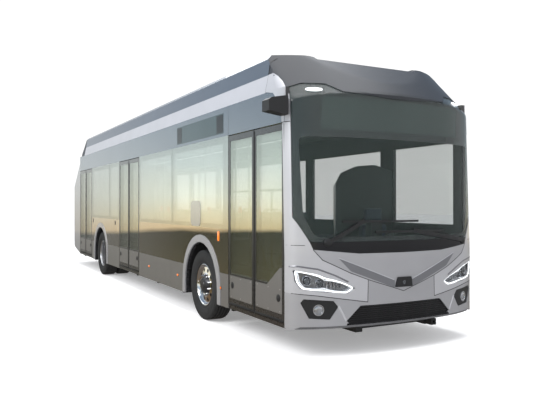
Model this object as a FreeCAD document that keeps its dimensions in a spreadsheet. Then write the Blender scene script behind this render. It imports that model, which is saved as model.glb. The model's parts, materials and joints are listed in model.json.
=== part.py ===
import FreeCAD, Part
import math
import os
import re

import Sketcher
from FreeCAD import Placement, Rotation, Vector

# A twelve metre low-floor city bus, standing on its wheels with its doors shut.
# The nose points to -Y, the doors are on the -X side, +Z is up.
# The origin is on the ground, at the middle of the overall length and width.

doc = FreeCAD.newDocument("city_bus")
sheet = doc.addObject("Spreadsheet::Sheet", "Sizes")

# Driving sizes in millimetres
SIZES = {
    # The whole vehicle
    "bus_length": 12100,
    "bus_width": 2550,
    "front_overhang": 2690,
    "rear_overhang": 3350,
    # Heights of the body's lines above the ground
    "skirt_low": 300,
    "waist_low": 715,
    "waist_high": 1270,
    "glass_high": 2435,
    "cantrail_high": 2800,
    "band_high": 3000,
    "fairing_high": 3240,
    # Thicknesses, joints and the length that a cutting tool runs past its work
    "panel_thick": 12,
    "wall_thick": 48,
    "skin_thick": 30,
    "glass_thick": 10,
    "panel_joint": 6,
    "running_gap": 0.3,
    "overrun": 60,
    # Nose in plan: a wide bow, two flanks and two corners
    "bow_radius": 4900,
    "bow_half": 700,
    "flank_radius": 1620,
    "flank_half": 1180,
    "nose_long": 350,
    "cap_long": 770,
    # Nose from the side: upright, then a leaning screen, then a raked visor
    "screen_foot": 1050,
    "screen_lean": 60,
    "visor_foot": 2770,
    "visor_rake": 504,
    "scoop_low": 3200,
    "scoop_half": 700,
    "scoop_flare": 60,
    "scoop_crest": 620,
    "scoop_rake": 610,
    # Tail: rounded corners, raked above a fold
    "rear_corner": 230,
    "tail_fold": 2132,
    "tail_rake": 1444,
    "roof_tail": 1550,
    "belly_start": 1060,
    "belly_rise": 130,
    "belly_bend": 350,
    "belly_top": 600,
    # Roof
    "band_lean": 40,
    "fairing_lean": 64,
    "fairing_round": 50,
    "ceiling_low": 2650,
    "pod_high": 3285,
    "pod_half": 800,
    "pod_edge": 60,
    # Doors
    "door_c_bay": 220,
    "tail_post": 40,
    "door_wide": 1410,
    "leaf_thick": 40,
    "leaf_gap": 12,
    "leaf_frame": 46,
    "leaf_foot": 355,
    "leaf_head": 70,
    "leaf_panel_rise": 85,
    "leaf_panel_proud": 3,
    "pane_inset": 3,
    "pin_radius": 8,
    "pin_inset": 32,
    "pin_flat": 6,
    "grip_radius": 14,
    "grip_off": 45,
    "grip_low": 850,
    "grip_high": 1750,
    # Windows
    "window_sill": 60,
    "window_head": 85,
    "sign_low": 2475,
    "sign_high": 2730,
    # Wheels and their arches
    "tyre_radius": 478.5,
    "tyre_wide": 275,
    "shoulder": 26,
    "bulge_drop": 105,
    "bead_radius": 286,
    "bead_inset": 28,
    "tyre_inset": 30,
    "dual_pitch": 311,
    "rim_wall": 14,
    "front_dish": 88,
    "disc_thick": 20,
    "disc_flat": 236,
    "disc_lap": 7,
    "hub_radius": 95,
    "hub_long": 62,
    "cap_radius": 60,
    "hub_cap": 60,
    "boss_radius": 20,
    "boss_long": 8,
    "boss_flat": 12,
    "rear_cap": 150,
    "hand_hole": 25,
    "hand_ring": 205,
    "arch_radius": 590,
    "trim_wide": 100,
    "trim_proud": 8,
    "housing_clear": 12,
    "housing_thick": 15,
    "housing_depth": 672,
    # Floor and underframe
    "floor_top": 345,
    "floor_thick": 40,
    "rail_deep": 80,
    "rail_wide": 90,
    "rail_middle": 480,
    "rail_set": 150,
    "kick_rise": 205,
    "member_wide": 60,
    "member_deep": 45,
    "tow_block": 70,
    "tow_radius": 16,
    "tow_long": 100,
    # Axles
    "kingpin_inset": 127,
    "kingpin_radius": 40,
    "kingpin_half": 120,
    "kingpin_neck": 25,
    "neck_radius": 30,
    "neck_flat": 20,
    "yoke_thick": 34,
    "yoke_inset": 100,
    "yoke_wide": 60,
    "stub_radius": 45,
    "beam_low": 145,
    "beam_deep": 60,
    "beam_long": 110,
    "portal_inner": 550,
    "portal_wide": 56,
    "portal_long": 180,
    "axle_radius": 70,
    # Rear bay
    "bulkhead_set": 30,
    "bulkhead_thick": 40,
    "drive_half": 850,
    "drive_high": 1900,
    "lid_half": 900,
    "lid_low": 620,
    "lid_high": 1480,
    "lid_gap": 8,
    "lid_hinge": 6.5,
    "lid_hinge_flat": 5,
    "lid_hinge_long": 120,
    "lid_hinge_middle": 600,
    "lid_strap": 40,
    "rear_glass_half": 960,
    "rear_glass_low": 1560,
    "rear_glass_high": 2080,
    "tail_lamp_in": 1040,
    "tail_lamp_out": 1190,
    "tail_lamp_low": 780,
    "tail_lamp_high": 1500,
    # Cab
    "dash_high": 1050,
    "dash_front": 450,
    "dash_brow": 60,
    "dash_long": 200,
    "dash_reach": 1500,
    "dash_gap": 60,
    "desk_front": 320,
    "desk_low": 800,
    "desk_set": 595,
    "wheel_radius": 225,
    "wheel_ring": 30,
    "wheel_lean": -28,
    "column_radius": 30,
    "column_long": 130,
    "driver_set": 900,
    "driver_foot": 445,
    "seat_half": 240,
    "partition_set": 1650,
    "partition_thick": 30,
    "partition_wide": 965,
    "partition_high": 2130,
    "sign_box_set": 190,
    "sign_box_deep": 170,
    "sign_box_half": 960,
    "sign_box_low": 2370,
    # Seats and rails
    "aisle_half": 330,
    "seat_high": 455,
    "seat_deep": 430,
    "seat_back": 640,
    "seat_rake": 70,
    "seat_shell": 45,
    "seat_foot": 90,
    "seat_wall_gap": 20,
    "pole_radius": 17,
    "pole_set": 30,
    "rail_high": 2250,
    # Camera pods and wipers
    "pod_reach": 225,
    "pod_deep": 200,
    "pod_low": 2500,
    "pod_set": 270,
    "pod_long": 150,
    "pod_back": 480,
    "wiper_thick": 22,
    "wiper_wide": 22,
    "lamp_deep": 60,
    "recess_deep": 16,
}

for row, (name, number) in enumerate(SIZES.items(), 1):
    sheet.set(f"A{row}", name)
    sheet.set(f"B{row}", str(number))
    sheet.setAlias(f"B{row}", name)
doc.recompute()

WORD = re.compile(r"[a-z][a-z_]+")


def bound(text):
    """The text of an expression, with each size's name pointed at its cell."""
    return WORD.sub(lambda m: "Sizes." + m.group(0) if m.group(0) in SIZES else m.group(0), str(text))


def at(text):
    """The number that an expression of size names stands for."""
    return float(sheet.evalExpression(bound(text)))


def between(start, end, share):
    """The place at a share of the way from start to end."""
    return f"({start} + {share} * ({end} - ({start})))"


# Places that many pieces share, as expressions of the sizes
HALF = "(bus_width / 2)"
NOSE = "(-bus_length / 2)"
TAIL = "(bus_length / 2)"
NOSE_REAR = f"({NOSE} + nose_long)"
CAP_REAR = f"({NOSE} + cap_long)"
ROOF_REAR = f"({TAIL} - roof_tail)"
WALL_OUT = f"({HALF} - panel_thick)"
WALL_IN = f"({HALF} - panel_thick - wall_thick)"
FLOOR_LOW = "(floor_top - floor_thick)"
RAIL_LOW = "(floor_top - floor_thick - rail_deep)"
FRONT_AXLE = f"({NOSE} + front_overhang)"
REAR_AXLE = f"({TAIL} - rear_overhang)"
TYRE_MIDDLE = f"({HALF} - tyre_inset - tyre_wide / 2)"
KINGPIN = f"({TYRE_MIDDLE} - kingpin_inset)"
TRIM_OUT = "(arch_radius + trim_wide)"
BETWEEN_ARCHES = (f"({FRONT_AXLE} + {TRIM_OUT})", f"({REAR_AXLE} - {TRIM_OUT})")
MIDDLE_DOOR_SHARE = 0.64
DOORS = {
    "a": NOSE_REAR,
    "b": f"({between(*BETWEEN_ARCHES, MIDDLE_DOOR_SHARE)} - door_wide / 2)",
    "c": f"({REAR_AXLE} + {TRIM_OUT} + door_c_bay)",
}
WALL_REAR = f"({DOORS['c']} + door_wide + tail_post)"
BULKHEAD = f"({WALL_REAR} + bulkhead_set)"
FLOOR_REAR = f"({BULKHEAD} + bulkhead_thick)"
SIDES = {"left": 1, "right": -1}
AXLES = {"front": FRONT_AXLE, "rear": REAR_AXLE}

# How finely what repeats is rounded, in sides per full turn
TYRE_SIDES = 20
HOLE_SIDES = 6
HUB_SIDES = 16
ARCH_SIDES = 28
ROD_SIDES = 8
HAND_HOLES = 10

NODES = []


def node(label, feature):
    """Keeps a feature as one of the bus's pieces, under its own name."""
    feature.Label = label
    NODES.append(feature)
    return feature


# Ways of making shapes, each tied to the sheet by expressions

def span(low, high):
    """The (start, size) pair between two places."""
    return f"({low})", f"(({high}) - ({low}))"


def sided(sign, near, far):
    """The (start, size) pair across X between two distances from the middle, on one side."""
    return span(near, far) if sign > 0 else span(f"-({far})", f"-({near})")


def box(x, y, z, name="Block"):
    """A block from its three (start, size) pairs."""
    made = doc.addObject("Part::Box", name)
    for prop, pair in zip(("Length", "Width", "Height"), (x, y, z)):
        made.setExpression(prop, bound(pair[1]))
    for place, pair in zip(("x", "y", "z"), (x, y, z)):
        made.setExpression(f"Placement.Base.{place}", bound(pair[0]))
    return made


AXIS_TURN = {
    "x": Rotation(Vector(0, 1, 0), 90),
    "y": Rotation(Vector(1, 0, 0), -90),
    "z": Rotation(),
}


def rod(axis, start, radius, length, sides=ROD_SIDES, name="Rod"):
    """A many-sided rod along +axis from its start point, or a true cylinder where sides is 0."""
    made = doc.addObject("Part::Prism" if sides else "Part::Cylinder", name)
    made.Placement = Placement(Vector(), AXIS_TURN[axis])
    if sides:
        made.Polygon = sides
    made.setExpression("Circumradius" if sides else "Radius", bound(radius))
    made.setExpression("Height", bound(length))
    for place, text in zip(("x", "y", "z"), start):
        made.setExpression(f"Placement.Base.{place}", bound(text))
    return made


def flatted(axis, start, radius, length, flat, name="Pin"):
    """A true round pin on its axis, with a flat on either side, so that few facets round it."""
    pairs = [(f"{place} - {radius}", f"2 * {radius}") for place in start]
    along, across_axis = "xyz".index(axis), 1 if axis == "x" else 0
    pairs[along] = (start[along], length)
    pairs[across_axis] = (f"{start[across_axis]} - {flat} / 2", flat)
    return common(rod(axis, start, radius, length, 0, name), box(*pairs, "PinFlats"), name + "Flatted")


PLANES = {
    "xy": (Rotation(), Vector(0, 0, 1), "z"),
    "xz": (Rotation(Vector(1, 0, 0), 90), Vector(0, 1, 0), "y"),
    "yz": (Rotation(Vector(1, 1, 1), 120), Vector(1, 0, 0), "x"),
}


def outline(plane, points, place, name="Outline"):
    """A closed sketch whose corners are bound to the sheet, in a plane at a place along its axis."""
    turn, _, axis = PLANES[plane]
    sketch = doc.addObject("Sketcher::SketchObject", name)
    sketch.Placement = Placement(Vector(), turn)
    sketch.setExpression(f"Placement.Base.{axis}", bound(place))
    corners = [Vector(at(u), at(v), 0) for u, v in points]
    count = len(corners)
    for i in range(count):
        sketch.addGeometry(Part.LineSegment(corners[i], corners[(i + 1) % count]), False)
    for i in range(count):
        sketch.addConstraint(Sketcher.Constraint("Coincident", i, 2, (i + 1) % count, 1))
    for i, (u, v) in enumerate(points):
        for kind, text in (("DistanceX", u), ("DistanceY", v)):
            index = sketch.addConstraint(Sketcher.Constraint(kind, -1, 1, i, 1, at(text)))
            sketch.setExpression(f"Constraints[{index}]", bound(text))
    return sketch


def plate(plane, points, pair, name="Plate"):
    """A flat outline extruded along its plane's axis, over a (start, size) pair."""
    made = doc.addObject("Part::Extrusion", name)
    made.Base = outline(plane, points, pair[0], name + "Outline")
    made.DirMode = "Custom"
    made.Dir = PLANES[plane][1]
    made.Solid = True
    made.setExpression("LengthFwd", bound(pair[1]))
    return made


def fused(parts, name="Join"):
    """Several touching solids as one."""
    made = doc.addObject("Part::MultiFuse", name)
    made.Shapes = parts
    made.Refine = True
    return made


def cut(base, tools, name="Cut"):
    """A solid with others taken out of it."""
    made = doc.addObject("Part::Cut", name)
    made.Base = base
    made.Tool = tools[0] if len(tools) == 1 else fused(tools, name + "Tools")
    made.Refine = True
    return made


def common(base, tool, name="Share"):
    """What two solids share."""
    made = doc.addObject("Part::Common", name)
    made.Base = base
    made.Tool = tool
    made.Refine = True
    return made


def group(parts, name="Group"):
    """Solids that stay apart in one piece's node."""
    made = doc.addObject("Part::Compound", name)
    made.Links = parts
    return made


def mirror(source, name="Mirror"):
    """A feature's mirror image across the bus's middle."""
    made = doc.addObject("Part::Mirroring", name)
    made.Source = source
    made.Normal = Vector(1, 0, 0)
    return made


def both(source, name="Pair"):
    """A feature and its mirror image, as a list."""
    return [source, mirror(source, name)]


def shaped(shape, name="Shape"):
    """A feature whose shape is worked out here from the sheet."""
    made = doc.addObject("Part::Feature", name)
    made.Shape = shape
    return made


def scaled(points, u_size, v_size, u_start="0", v_start="0"):
    """An outline from shares of two sizes, as expressions."""
    return [(f"({u_start} + {u} * ({u_size}))", f"({v_start} + {v} * ({v_size}))") for u, v in points]


def mirrored(points):
    """The left half of an outline given in shares, closed by its mirror image."""
    return points + [(-u, v) for u, v in reversed(points) if u]


# The envelope of the nose and tail, from which every outer skin is cut.
# Each layer is the same plan outline, tipped at a fold, so the layers meet on a mitre.

def heading_vector(heading):
    """The outward direction at a heading from straight ahead."""
    return Vector(math.sin(heading), -math.cos(heading), 0)


BOW_STRIPS, FLANK_STRIPS, CORNER_STRIPS = 2, 3, 4


def round_points(centre, radius, start, end, strips):
    """Places along a round, one strip apart."""
    return [centre + heading_vector(start + (end - start) * i / strips) * radius for i in range(strips + 1)]


def nose_outline(inset):
    """The nose's left half in plan, from its middle to its side: flat strips along three rounds."""
    half = at(HALF)
    bow, flank = at("bow_radius"), at("flank_radius")
    first = math.asin(at("bow_half") / bow)
    second = math.asin(math.sin(first) + (at("flank_half") - at("bow_half")) / flank)
    corner = (half - at("flank_half")) / (1 - math.sin(second))
    bow_centre = Vector(0, at(NOSE) + bow, 0)
    flank_centre = bow_centre + heading_vector(first) * (bow - flank)
    corner_centre = flank_centre + heading_vector(second) * (flank - corner)
    points = round_points(bow_centre, bow - inset, 0.0, first, BOW_STRIPS)
    points += round_points(flank_centre, flank - inset, first, second, FLANK_STRIPS)[1:]
    points += round_points(corner_centre, corner - inset, second, math.pi / 2, CORNER_STRIPS)[1:]
    return points


def tail_outline(inset):
    """The tail's left half in plan, facing forward until it is mirrored: flat, with a round corner."""
    radius = at("rear_corner")
    centre = Vector(at(HALF) - radius, at(NOSE) + radius, 0)
    return [Vector(0, at(NOSE) + inset, 0)] + round_points(centre, radius - inset, 0.0, math.pi / 2, CORNER_STRIPS)


def prism_of(half_outline):
    """A tall block whose end follows half an outline and its mirror image, and which runs the bus's length."""
    deep = at("bus_length")
    back = at(TAIL)
    left = half_outline + [Vector(half_outline[-1].x, back, 0)]
    right = [Vector(-point.x, point.y, 0) for point in reversed(left) if point.x]
    corners = left + right
    face = Part.Face(Part.makePolygon(corners + corners[:1]))
    return face.extrude(Vector(0, 0, 2 * deep)).translated(Vector(0, 0, -deep))


def above(place, height, degrees):
    """A half space above a plane through a line across the bus, tipped about that line."""
    size = 4 * at("bus_length")
    block = Part.makeBox(size, size, size, Vector(-size / 2, place - size / 2, height))
    return block.rotate(Vector(0, place, height), Vector(1, 0, 0), degrees)


def folded(solid, folds):
    """A tall block bent back at folds, each (place, height, degrees turned about +X)."""
    layers = []
    for place, height, degrees in folds:
        mitre = above(place, height, degrees / 2)
        layers.append(solid.cut(mitre))
        solid = solid.copy().rotate(Vector(0, place, height), Vector(1, 0, 0), degrees).common(mitre)
    return layers[0].fuse(layers[1:] + [solid]).removeSplitter()


NOSE_LEAN = math.degrees(math.atan(at("screen_lean / (visor_foot - screen_foot)")))
VISOR_LEAN = math.degrees(math.atan(at("visor_rake / (fairing_high - visor_foot)")))
TAIL_LEAN = math.degrees(math.atan(at("tail_rake / (fairing_high - tail_fold)")))


def nose_envelope(inset=0.0):
    """The front of the body as one solid, moved in by inset."""
    solid = prism_of(nose_outline(inset))
    ahead = at(f"{NOSE} - panel_joint")
    folds = [
        (ahead, at("screen_foot"), -NOSE_LEAN),
        (ahead + at("screen_lean"), at("visor_foot"), NOSE_LEAN - VISOR_LEAN),
    ]
    return folded(solid, folds)


def tail_envelope(inset=0.0):
    """The back of the body as one solid, moved in by inset."""
    bent = folded(prism_of(tail_outline(inset)), [(at(NOSE), at("tail_fold"), -TAIL_LEAN)])
    return bent.mirror(Vector(), Vector(0, 1, 0))


def slab(x_pair, y_pair, z_pair):
    """A plain block between two corners, each pair low then high."""
    size = [pair[1] - pair[0] for pair in (x_pair, y_pair, z_pair)]
    return Part.makeBox(*size, Vector(x_pair[0], y_pair[0], z_pair[0]))


def prism(axis, points, start, depth):
    """A plain solid: an outline in the plane across axis, extruded along it."""
    place = {"x": lambda u, v: Vector(start, u, v), "y": lambda u, v: Vector(u, start, v)}[axis]
    along = {"x": Vector(depth, 0, 0), "y": Vector(0, depth, 0)}[axis]
    corners = [place(u, v) for u, v in points]
    return Part.Face(Part.makePolygon(corners + corners[:1])).extrude(along)


def section(inset):
    """The body's cross-section in (x, z): upright walls, leaning bands and rounded fairings."""
    half = at(HALF) - inset
    top = at("fairing_high") - inset
    shoulder = half - at("fairing_lean")
    rounding = at("fairing_round")
    left = [
        (-half, 0.0),
        (-half, at("cantrail_high")),
        (at("band_lean") - half, at("band_high")),
        (-shoulder, top - rounding),
        (rounding - shoulder, top),
    ]
    return left + [(-u, v) for u, v in reversed(left)]


FAR = at("bus_width")
SKY = at("pod_high + overrun")
FRONT_START = at(f"{NOSE} - overrun")
TAIL_END = at(f"{TAIL} + overrun")


def scoop(inset):
    """What the visor lacks between its lobes: a flatter rake, and a lower crest."""
    low, half, flare = at("scoop_low") - inset, at("scoop_half") + inset, at("scoop_flare")
    crest = prism("y", [(-half, low), (half, low), (half + flare, SKY), (-half - flare, SKY)],
                  FRONT_START, at(CAP_REAR) + at("overrun") - FRONT_START)
    rise, rake = at("scoop_low - visor_foot"), at("scoop_rake")
    shift = inset * math.hypot(rise, rake) / rise
    foot = at(f"{NOSE} + scoop_crest") - rake + shift
    head = foot + rake * (SKY - at("visor_foot")) / rise
    face = prism("x", [(FRONT_START, at("visor_foot")), (foot, at("visor_foot")), (head, SKY), (FRONT_START, SKY)],
                 -FAR, 2 * FAR)
    return crest.fuse(face)


def body(envelope, inset):
    """An end's envelope within the body's cross-section, with the visor's scoop taken out."""
    long_prism = prism("y", section(inset), FRONT_START, TAIL_END - FRONT_START)
    return envelope(inset).common(long_prism).cut(scoop(inset))


def end_zone(y_low, y_high, split):
    """The space that an end's skin fills: one stretch below a height and another above it."""
    low = slab((-FAR, FAR), y_low, (at("skirt_low"), split))
    return low.fuse(slab((-FAR, FAR), y_high, (split, SKY)))


def skin(envelope, depth, inset=0.0):
    """A shell of the envelope between two insets."""
    return body(envelope, inset).cut(body(envelope, inset + depth))


NOSE_ZONE = end_zone((FRONT_START, at(NOSE_REAR)), (FRONT_START, at(CAP_REAR)), at("cantrail_high"))
TAIL_ZONE = end_zone((at(WALL_REAR), TAIL_END), (at(ROOF_REAR), TAIL_END), at("cantrail_high"))
NOSE_SKIN = shaped(skin(nose_envelope, at("skin_thick")).common(NOSE_ZONE), "NoseSkin")
TAIL_SKIN = shaped(skin(tail_envelope, at("skin_thick")).common(TAIL_ZONE), "TailSkin")
nose_inside = shaped(body(nose_envelope, at("skin_thick")), "NoseInside")
tail_inside = shaped(body(tail_envelope, at("skin_thick + running_gap")), "TailInside")
across = sided(1, f"-{HALF} - overrun", f"{HALF} + overrun")


# Tools that cut or keep parts of the skins, from outlines in the front or rear view

def nose_window(points, name="NoseWindow"):
    """A prism through the nose from an outline in (x, z)."""
    return plate("xz", points, span(f"{NOSE} - overrun", f"{CAP_REAR} + overrun"), name)


def tail_window(points, name="TailWindow"):
    """A prism through the tail's rear face from an outline in (x, z)."""
    return plate("xz", points, span(between(WALL_REAR, TAIL, 0.5), f"{TAIL} + overrun"), name)


def front_shares(points):
    """An outline in the front view from shares of the half width and of the cantrail's height."""
    return scaled(points, HALF, "cantrail_high")


def wheel_arch(radius, x, axle, name="Arch"):
    """The space over a wheel: round above its hub and straight down below it."""
    points = []
    steps = ARCH_SIDES // 2
    for i in range(steps + 1):
        turn_share = math.cos(math.pi * i / steps), math.sin(math.pi * i / steps)
        points.append((f"{AXLES[axle]} + {turn_share[0]:.9f} * ({radius})",
                       f"tyre_radius + {turn_share[1]:.9f} * ({radius})"))
    points.append((f"{AXLES[axle]} - ({radius})", "0"))
    points.append((f"{AXLES[axle]} + ({radius})", "0"))
    return plate("yz", points, x, name)


def arches(radius, x, name="Arches"):
    return [wheel_arch(radius, x, axle, name) for axle in AXLES]


# Bays of the side walls between the doors, and where their windows, panes and panels end

AFTER = {name: f"({place} + door_wide)" for name, place in DOORS.items()}
RIGHT_BAYS = [(AFTER["a"], DOORS["b"]), (AFTER["b"], DOORS["c"]), (AFTER["c"], WALL_REAR)]
LEFT_BAY = (NOSE_REAR, WALL_REAR)
RIGHT_WINDOW_SHARES = [[(0.049, 0.522), (0.560, 0.982)], [(0.070, 0.287), (0.364, 0.957)], []]
RIGHT_PANE_SHARES = [[0.540], [0.325], []]
RIGHT_PANEL_SHARES = [[0.552], [], []]
LEFT_WINDOW_SHARES = [(0.013, 0.119), (0.146, 0.318), (0.339, 0.510), (0.534, 0.692), (0.713, 0.855), (0.876, 0.988)]
LEFT_PANE_SHARES = [0.132, 0.329, 0.522, 0.703, 0.866]
LEFT_PANEL_SHARES = [0.131, 0.332, 0.530, 0.694, 0.869]
CANTRAIL_SHARE = 0.286
SIGN_SHARES = (0.038, 0.481)
WINDOW_LOW, WINDOW_HIGH = "(waist_high + window_sill)", "(glass_high - window_head)"


def spans_of(places):
    """The spans between neighbouring seams, each short of them by half a joint."""
    return [span(f"{near} + panel_joint / 2", f"{far} - panel_joint / 2") for near, far in zip(places, places[1:])]


def pieces_of(bay, seam_shares):
    """The spans that seams make of a bay."""
    return spans_of([bay[0]] + [between(*bay, share) for share in seam_shares] + [bay[1]])


def side_row(low, high, right_seams, left_seams):
    """A row of outer panels along both sides, between two heights."""
    z = span(low, high)
    row = []
    for bay, seams in zip(RIGHT_BAYS, right_seams):
        row += [box(sided(-1, WALL_OUT, HALF), y, z, "PanelRight") for y in pieces_of(bay, seams)]
    row += [box(sided(1, WALL_OUT, HALF), y, z, "PanelLeft") for y in pieces_of(LEFT_BAY, left_seams)]
    return row


def through_wall(sign, y, z):
    """A block through one side wall."""
    return box(sided(sign, f"{WALL_IN} - overrun", f"{HALF} + overrun"), y, z, "WallHole")


def side_wall(sign, holes):
    """One wall as a single plate from skirt to roof, with its holes."""
    x = sided(sign, WALL_IN, WALL_OUT)
    sheet_metal = box(x, span(NOSE_REAR, WALL_REAR), span("skirt_low", "cantrail_high"), "WallPlate")
    return cut(sheet_metal, holes + arches("arch_radius", x), "Wall")


window_z = span(WINDOW_LOW, WINDOW_HIGH)
right_holes = []
for bay, shares in zip(RIGHT_BAYS, RIGHT_WINDOW_SHARES):
    right_holes += [through_wall(-1, span(between(*bay, a), between(*bay, b)), window_z) for a, b in shares]
right_holes += [through_wall(-1, (place, "door_wide"), span("floor_top", "glass_high")) for place in DOORS.values()]
left_holes = [through_wall(1, span(between(*LEFT_BAY, a), between(*LEFT_BAY, b)), window_z)
              for a, b in LEFT_WINDOW_SHARES]
node("wall_right", side_wall(-1, right_holes))
node("wall_left", side_wall(1, left_holes))

# The outer panels: glass over waist over skirt, and the cantrail with its sign window
sign_y = span(between(*RIGHT_BAYS[0], SIGN_SHARES[0]), between(*RIGHT_BAYS[0], SIGN_SHARES[1]))
sign_z = span("sign_low", "sign_high")
panes = side_row("waist_high", "glass_high", RIGHT_PANE_SHARES, LEFT_PANE_SHARES)
panes.append(box(sided(-1, WALL_OUT, HALF), sign_y, sign_z, "SignPane"))
node("side_glass", group(panes, "SideGlass"))

panel_x = sided(1, f"{WALL_OUT} - overrun", f"{HALF} + overrun")
ring_tools = fused([tool for axle in AXLES for tool in both(wheel_arch(TRIM_OUT, panel_x, axle))], "TrimRings")


def arched(row):
    """Panels with the wheels' trims cut out of them."""
    return [cut(panel, [ring_tools], "ArchedPanel") for panel in row]


waist = arched(side_row("waist_low", "waist_high", RIGHT_PANEL_SHARES, LEFT_PANEL_SHARES))
cantrail_z = span("glass_high", "cantrail_high")
cantrail_spans = spans_of([NOSE_REAR, AFTER["a"], between(*RIGHT_BAYS[1], CANTRAIL_SHARE), WALL_REAR])
cantrail = [box(sided(sign, WALL_OUT, HALF), y, cantrail_z, "Cantrail") for sign in (-1, 1) for y in cantrail_spans]
cantrail[1] = cut(cantrail[1], [through_wall(-1, sign_y, sign_z)], "SignPanel")
PILLAR_SHARES = [(0, 1), (0, 0.33), (0.36, 0.62), (0.70, 1)]
PILLAR_DEEP = "(cantrail_high - glass_high)"
pillar_points = scaled(PILLAR_SHARES, "nose_long", PILLAR_DEEP, NOSE_REAR, "glass_high")
pillar_tab = plate("yz", pillar_points, sided(1, WALL_OUT, HALF), "PillarTab")
pillar_tabs = both(pillar_tab)
cantrail = [cut(panel, [tool], "CantrailFront") if i % 3 == 0 else panel
            for i, (panel, tool) in enumerate(zip(cantrail, [pillar_tabs[1]] * 3 + [pillar_tabs[0]] * 3))]
node("side_panels", group(waist + cantrail, "SidePanels"))
node("skirts", group(arched(side_row("skirt_low", "waist_low", RIGHT_PANEL_SHARES, LEFT_PANEL_SHARES)), "Skirts"))

trims = []
for axle in AXLES:
    x = sided(1, WALL_OUT, f"{HALF} + trim_proud")
    wide = wheel_arch(TRIM_OUT, x, axle, "TrimOuter")
    ring = cut(wide, [wheel_arch("arch_radius", sided(1, f"{WALL_OUT} - overrun", f"{HALF} + overrun"), axle),
                      box(sided(1, "0", f"{HALF} + overrun"), span(NOSE, TAIL), span("0", "skirt_low"))], "TrimRing")
    trims += both(ring)
node("arch_trims", group(trims, "ArchTrims"))


# Roof: one slab from ceiling to deck, with a leaning band and a fairing along each edge

ALONG = span(CAP_REAR, ROOF_REAR)
BAND_IN = f"({WALL_IN} - band_lean)"
BAND_OUT = f"({HALF} - band_lean)"
FAIR_OUT = f"({HALF} - fairing_lean)"
nose_body = shaped(body(nose_envelope, 0.0), "NoseBody")
roof_slab = plate("xz", [
    (f"-{WALL_IN}", "ceiling_low"), (WALL_IN, "ceiling_low"), (WALL_IN, "cantrail_high"), (BAND_IN, "band_high"),
    (f"-{BAND_IN}", "band_high"), (f"-{WALL_IN}", "cantrail_high"),
], ALONG, "RoofSlab")
tail_roof = box(sided(1, f"-{WALL_IN}", WALL_IN), span(ROOF_REAR, FLOOR_REAR),
                span("ceiling_low", "cantrail_high"), "TailCeiling")
node("roof", fused([roof_slab, common(tail_roof, tail_inside, "TailRoof")], "Roof"))
band = plate("xz", [
    (WALL_IN, "cantrail_high"), (HALF, "cantrail_high"), (BAND_OUT, "band_high"), (BAND_IN, "band_high"),
], ALONG, "Band")
fairing = plate("xz", [
    (BAND_OUT, "band_high"), (FAIR_OUT, "fairing_high - fairing_round"),
    (f"{FAIR_OUT} - fairing_round", "fairing_high"), (f"{FAIR_OUT} - 2 * fairing_round", "fairing_high"),
    (f"{FAIR_OUT} - 2 * fairing_round", "fairing_high - skin_thick"),
    (f"{FAIR_OUT} - fairing_round - skin_thick / 2", "fairing_high - skin_thick"),
    (f"{FAIR_OUT} - skin_thick", "fairing_high - fairing_round - skin_thick / 2"),
    (f"{BAND_OUT} - skin_thick", "band_high"),
], ALONG, "Fairing")
trimmed = common(fairing, nose_body, "FairingTrimmed")
node("roof_edges", group(both(band) + both(trimmed), "RoofEdges"))

POD_SHARES = [(0.055, 0.290), (0.345, 0.640), (0.700, 0.955)]
pods = []
for start_share, end_share in POD_SHARES:
    y = span(between(CAP_REAR, ROOF_REAR, start_share), between(CAP_REAR, ROOF_REAR, end_share))
    pods.append(plate("xz", [
        ("-pod_half", "band_high"), ("pod_half", "band_high"), ("pod_half", "pod_high - pod_edge"),
        ("pod_half - pod_edge", "pod_high"), ("pod_edge - pod_half", "pod_high"), ("-pod_half", "pod_high - pod_edge"),
    ], y, "Pod"))
node("roof_pods", group(pods, "RoofPods"))


# The nose's panels, their outlines in shares of the half width and of the cantrail's height

SCREEN_LOW_SHARES = [(-0.853, 0.427), (-0.971, 0.518)]
VISOR_SHARES = [(-0.971, 1.000), (-0.836, 1.0214), (-0.651, 1.0196), (-0.547, 0.9864), (-0.143, 0.973), (0, 0.973)]
STRIP_SHARES = [(-0.853, 0.427), (-0.828, 0.400), (-0.444, 0.3825), (0, 0.381)]
SEAM_SHARES = [(-0.828, 0.400), (-0.757, 0.362), (-0.526, 0.3125), (-0.358, 0.284), (0, 0.233)]
FOLD_SHARES = [(-0.362, 0.201), (-0.791, 0.232), (-1.000, 0.2425), (-1.100, 0.2425)]
LAMP_SHARES = [
    (-0.973, 0.326), (-0.961, 0.284), (-0.925, 0.2586), (-0.791, 0.2468),
    (-0.541, 0.2375), (-0.479, 0.2554), (-0.571, 0.2754), (-0.791, 0.310),
]
GRILLE_SHARES = [(0, 0.126), (-0.533, 0.126), (-0.557, 0.136), (-0.431, 0.189), (0, 0.189)]
FOG_SHARES = [(-0.925, 0.2075), (-0.901, 0.221), (-0.668, 0.212), (-0.626, 0.189), (-0.696, 0.144), (-0.862, 0.150)]
HEM_SHARES = [(0, 0.1196), (-0.925, 0.1196), (-0.988, 0.107), (-1.100, 0.107)]
EDGE_SHARE, TOP_SHARE = 1.100, 1.300

glass_skin = shaped(skin(nose_envelope, at("glass_thick")).common(NOSE_ZONE), "GlassSkin")
screen = nose_window(front_shares(mirrored(SCREEN_LOW_SHARES + VISOR_SHARES)), "ScreenWindow")
strip = nose_window(front_shares(mirrored(STRIP_SHARES)), "StripWindow")
glass = common(glass_skin, screen, "WindscreenGlass")
node("windscreen", group([glass, common(NOSE_SKIN, strip)], "Windscreen"))

strip_foot = [(-u, v) for u, v in STRIP_SHARES[2:3]] + STRIP_SHARES[3:] + STRIP_SHARES[2:3]
hatch = nose_window(front_shares(mirrored(SEAM_SHARES) + strip_foot), "HatchWindow")
node("front_panel", common(NOSE_SKIN, hatch, "FrontPanel"))

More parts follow.
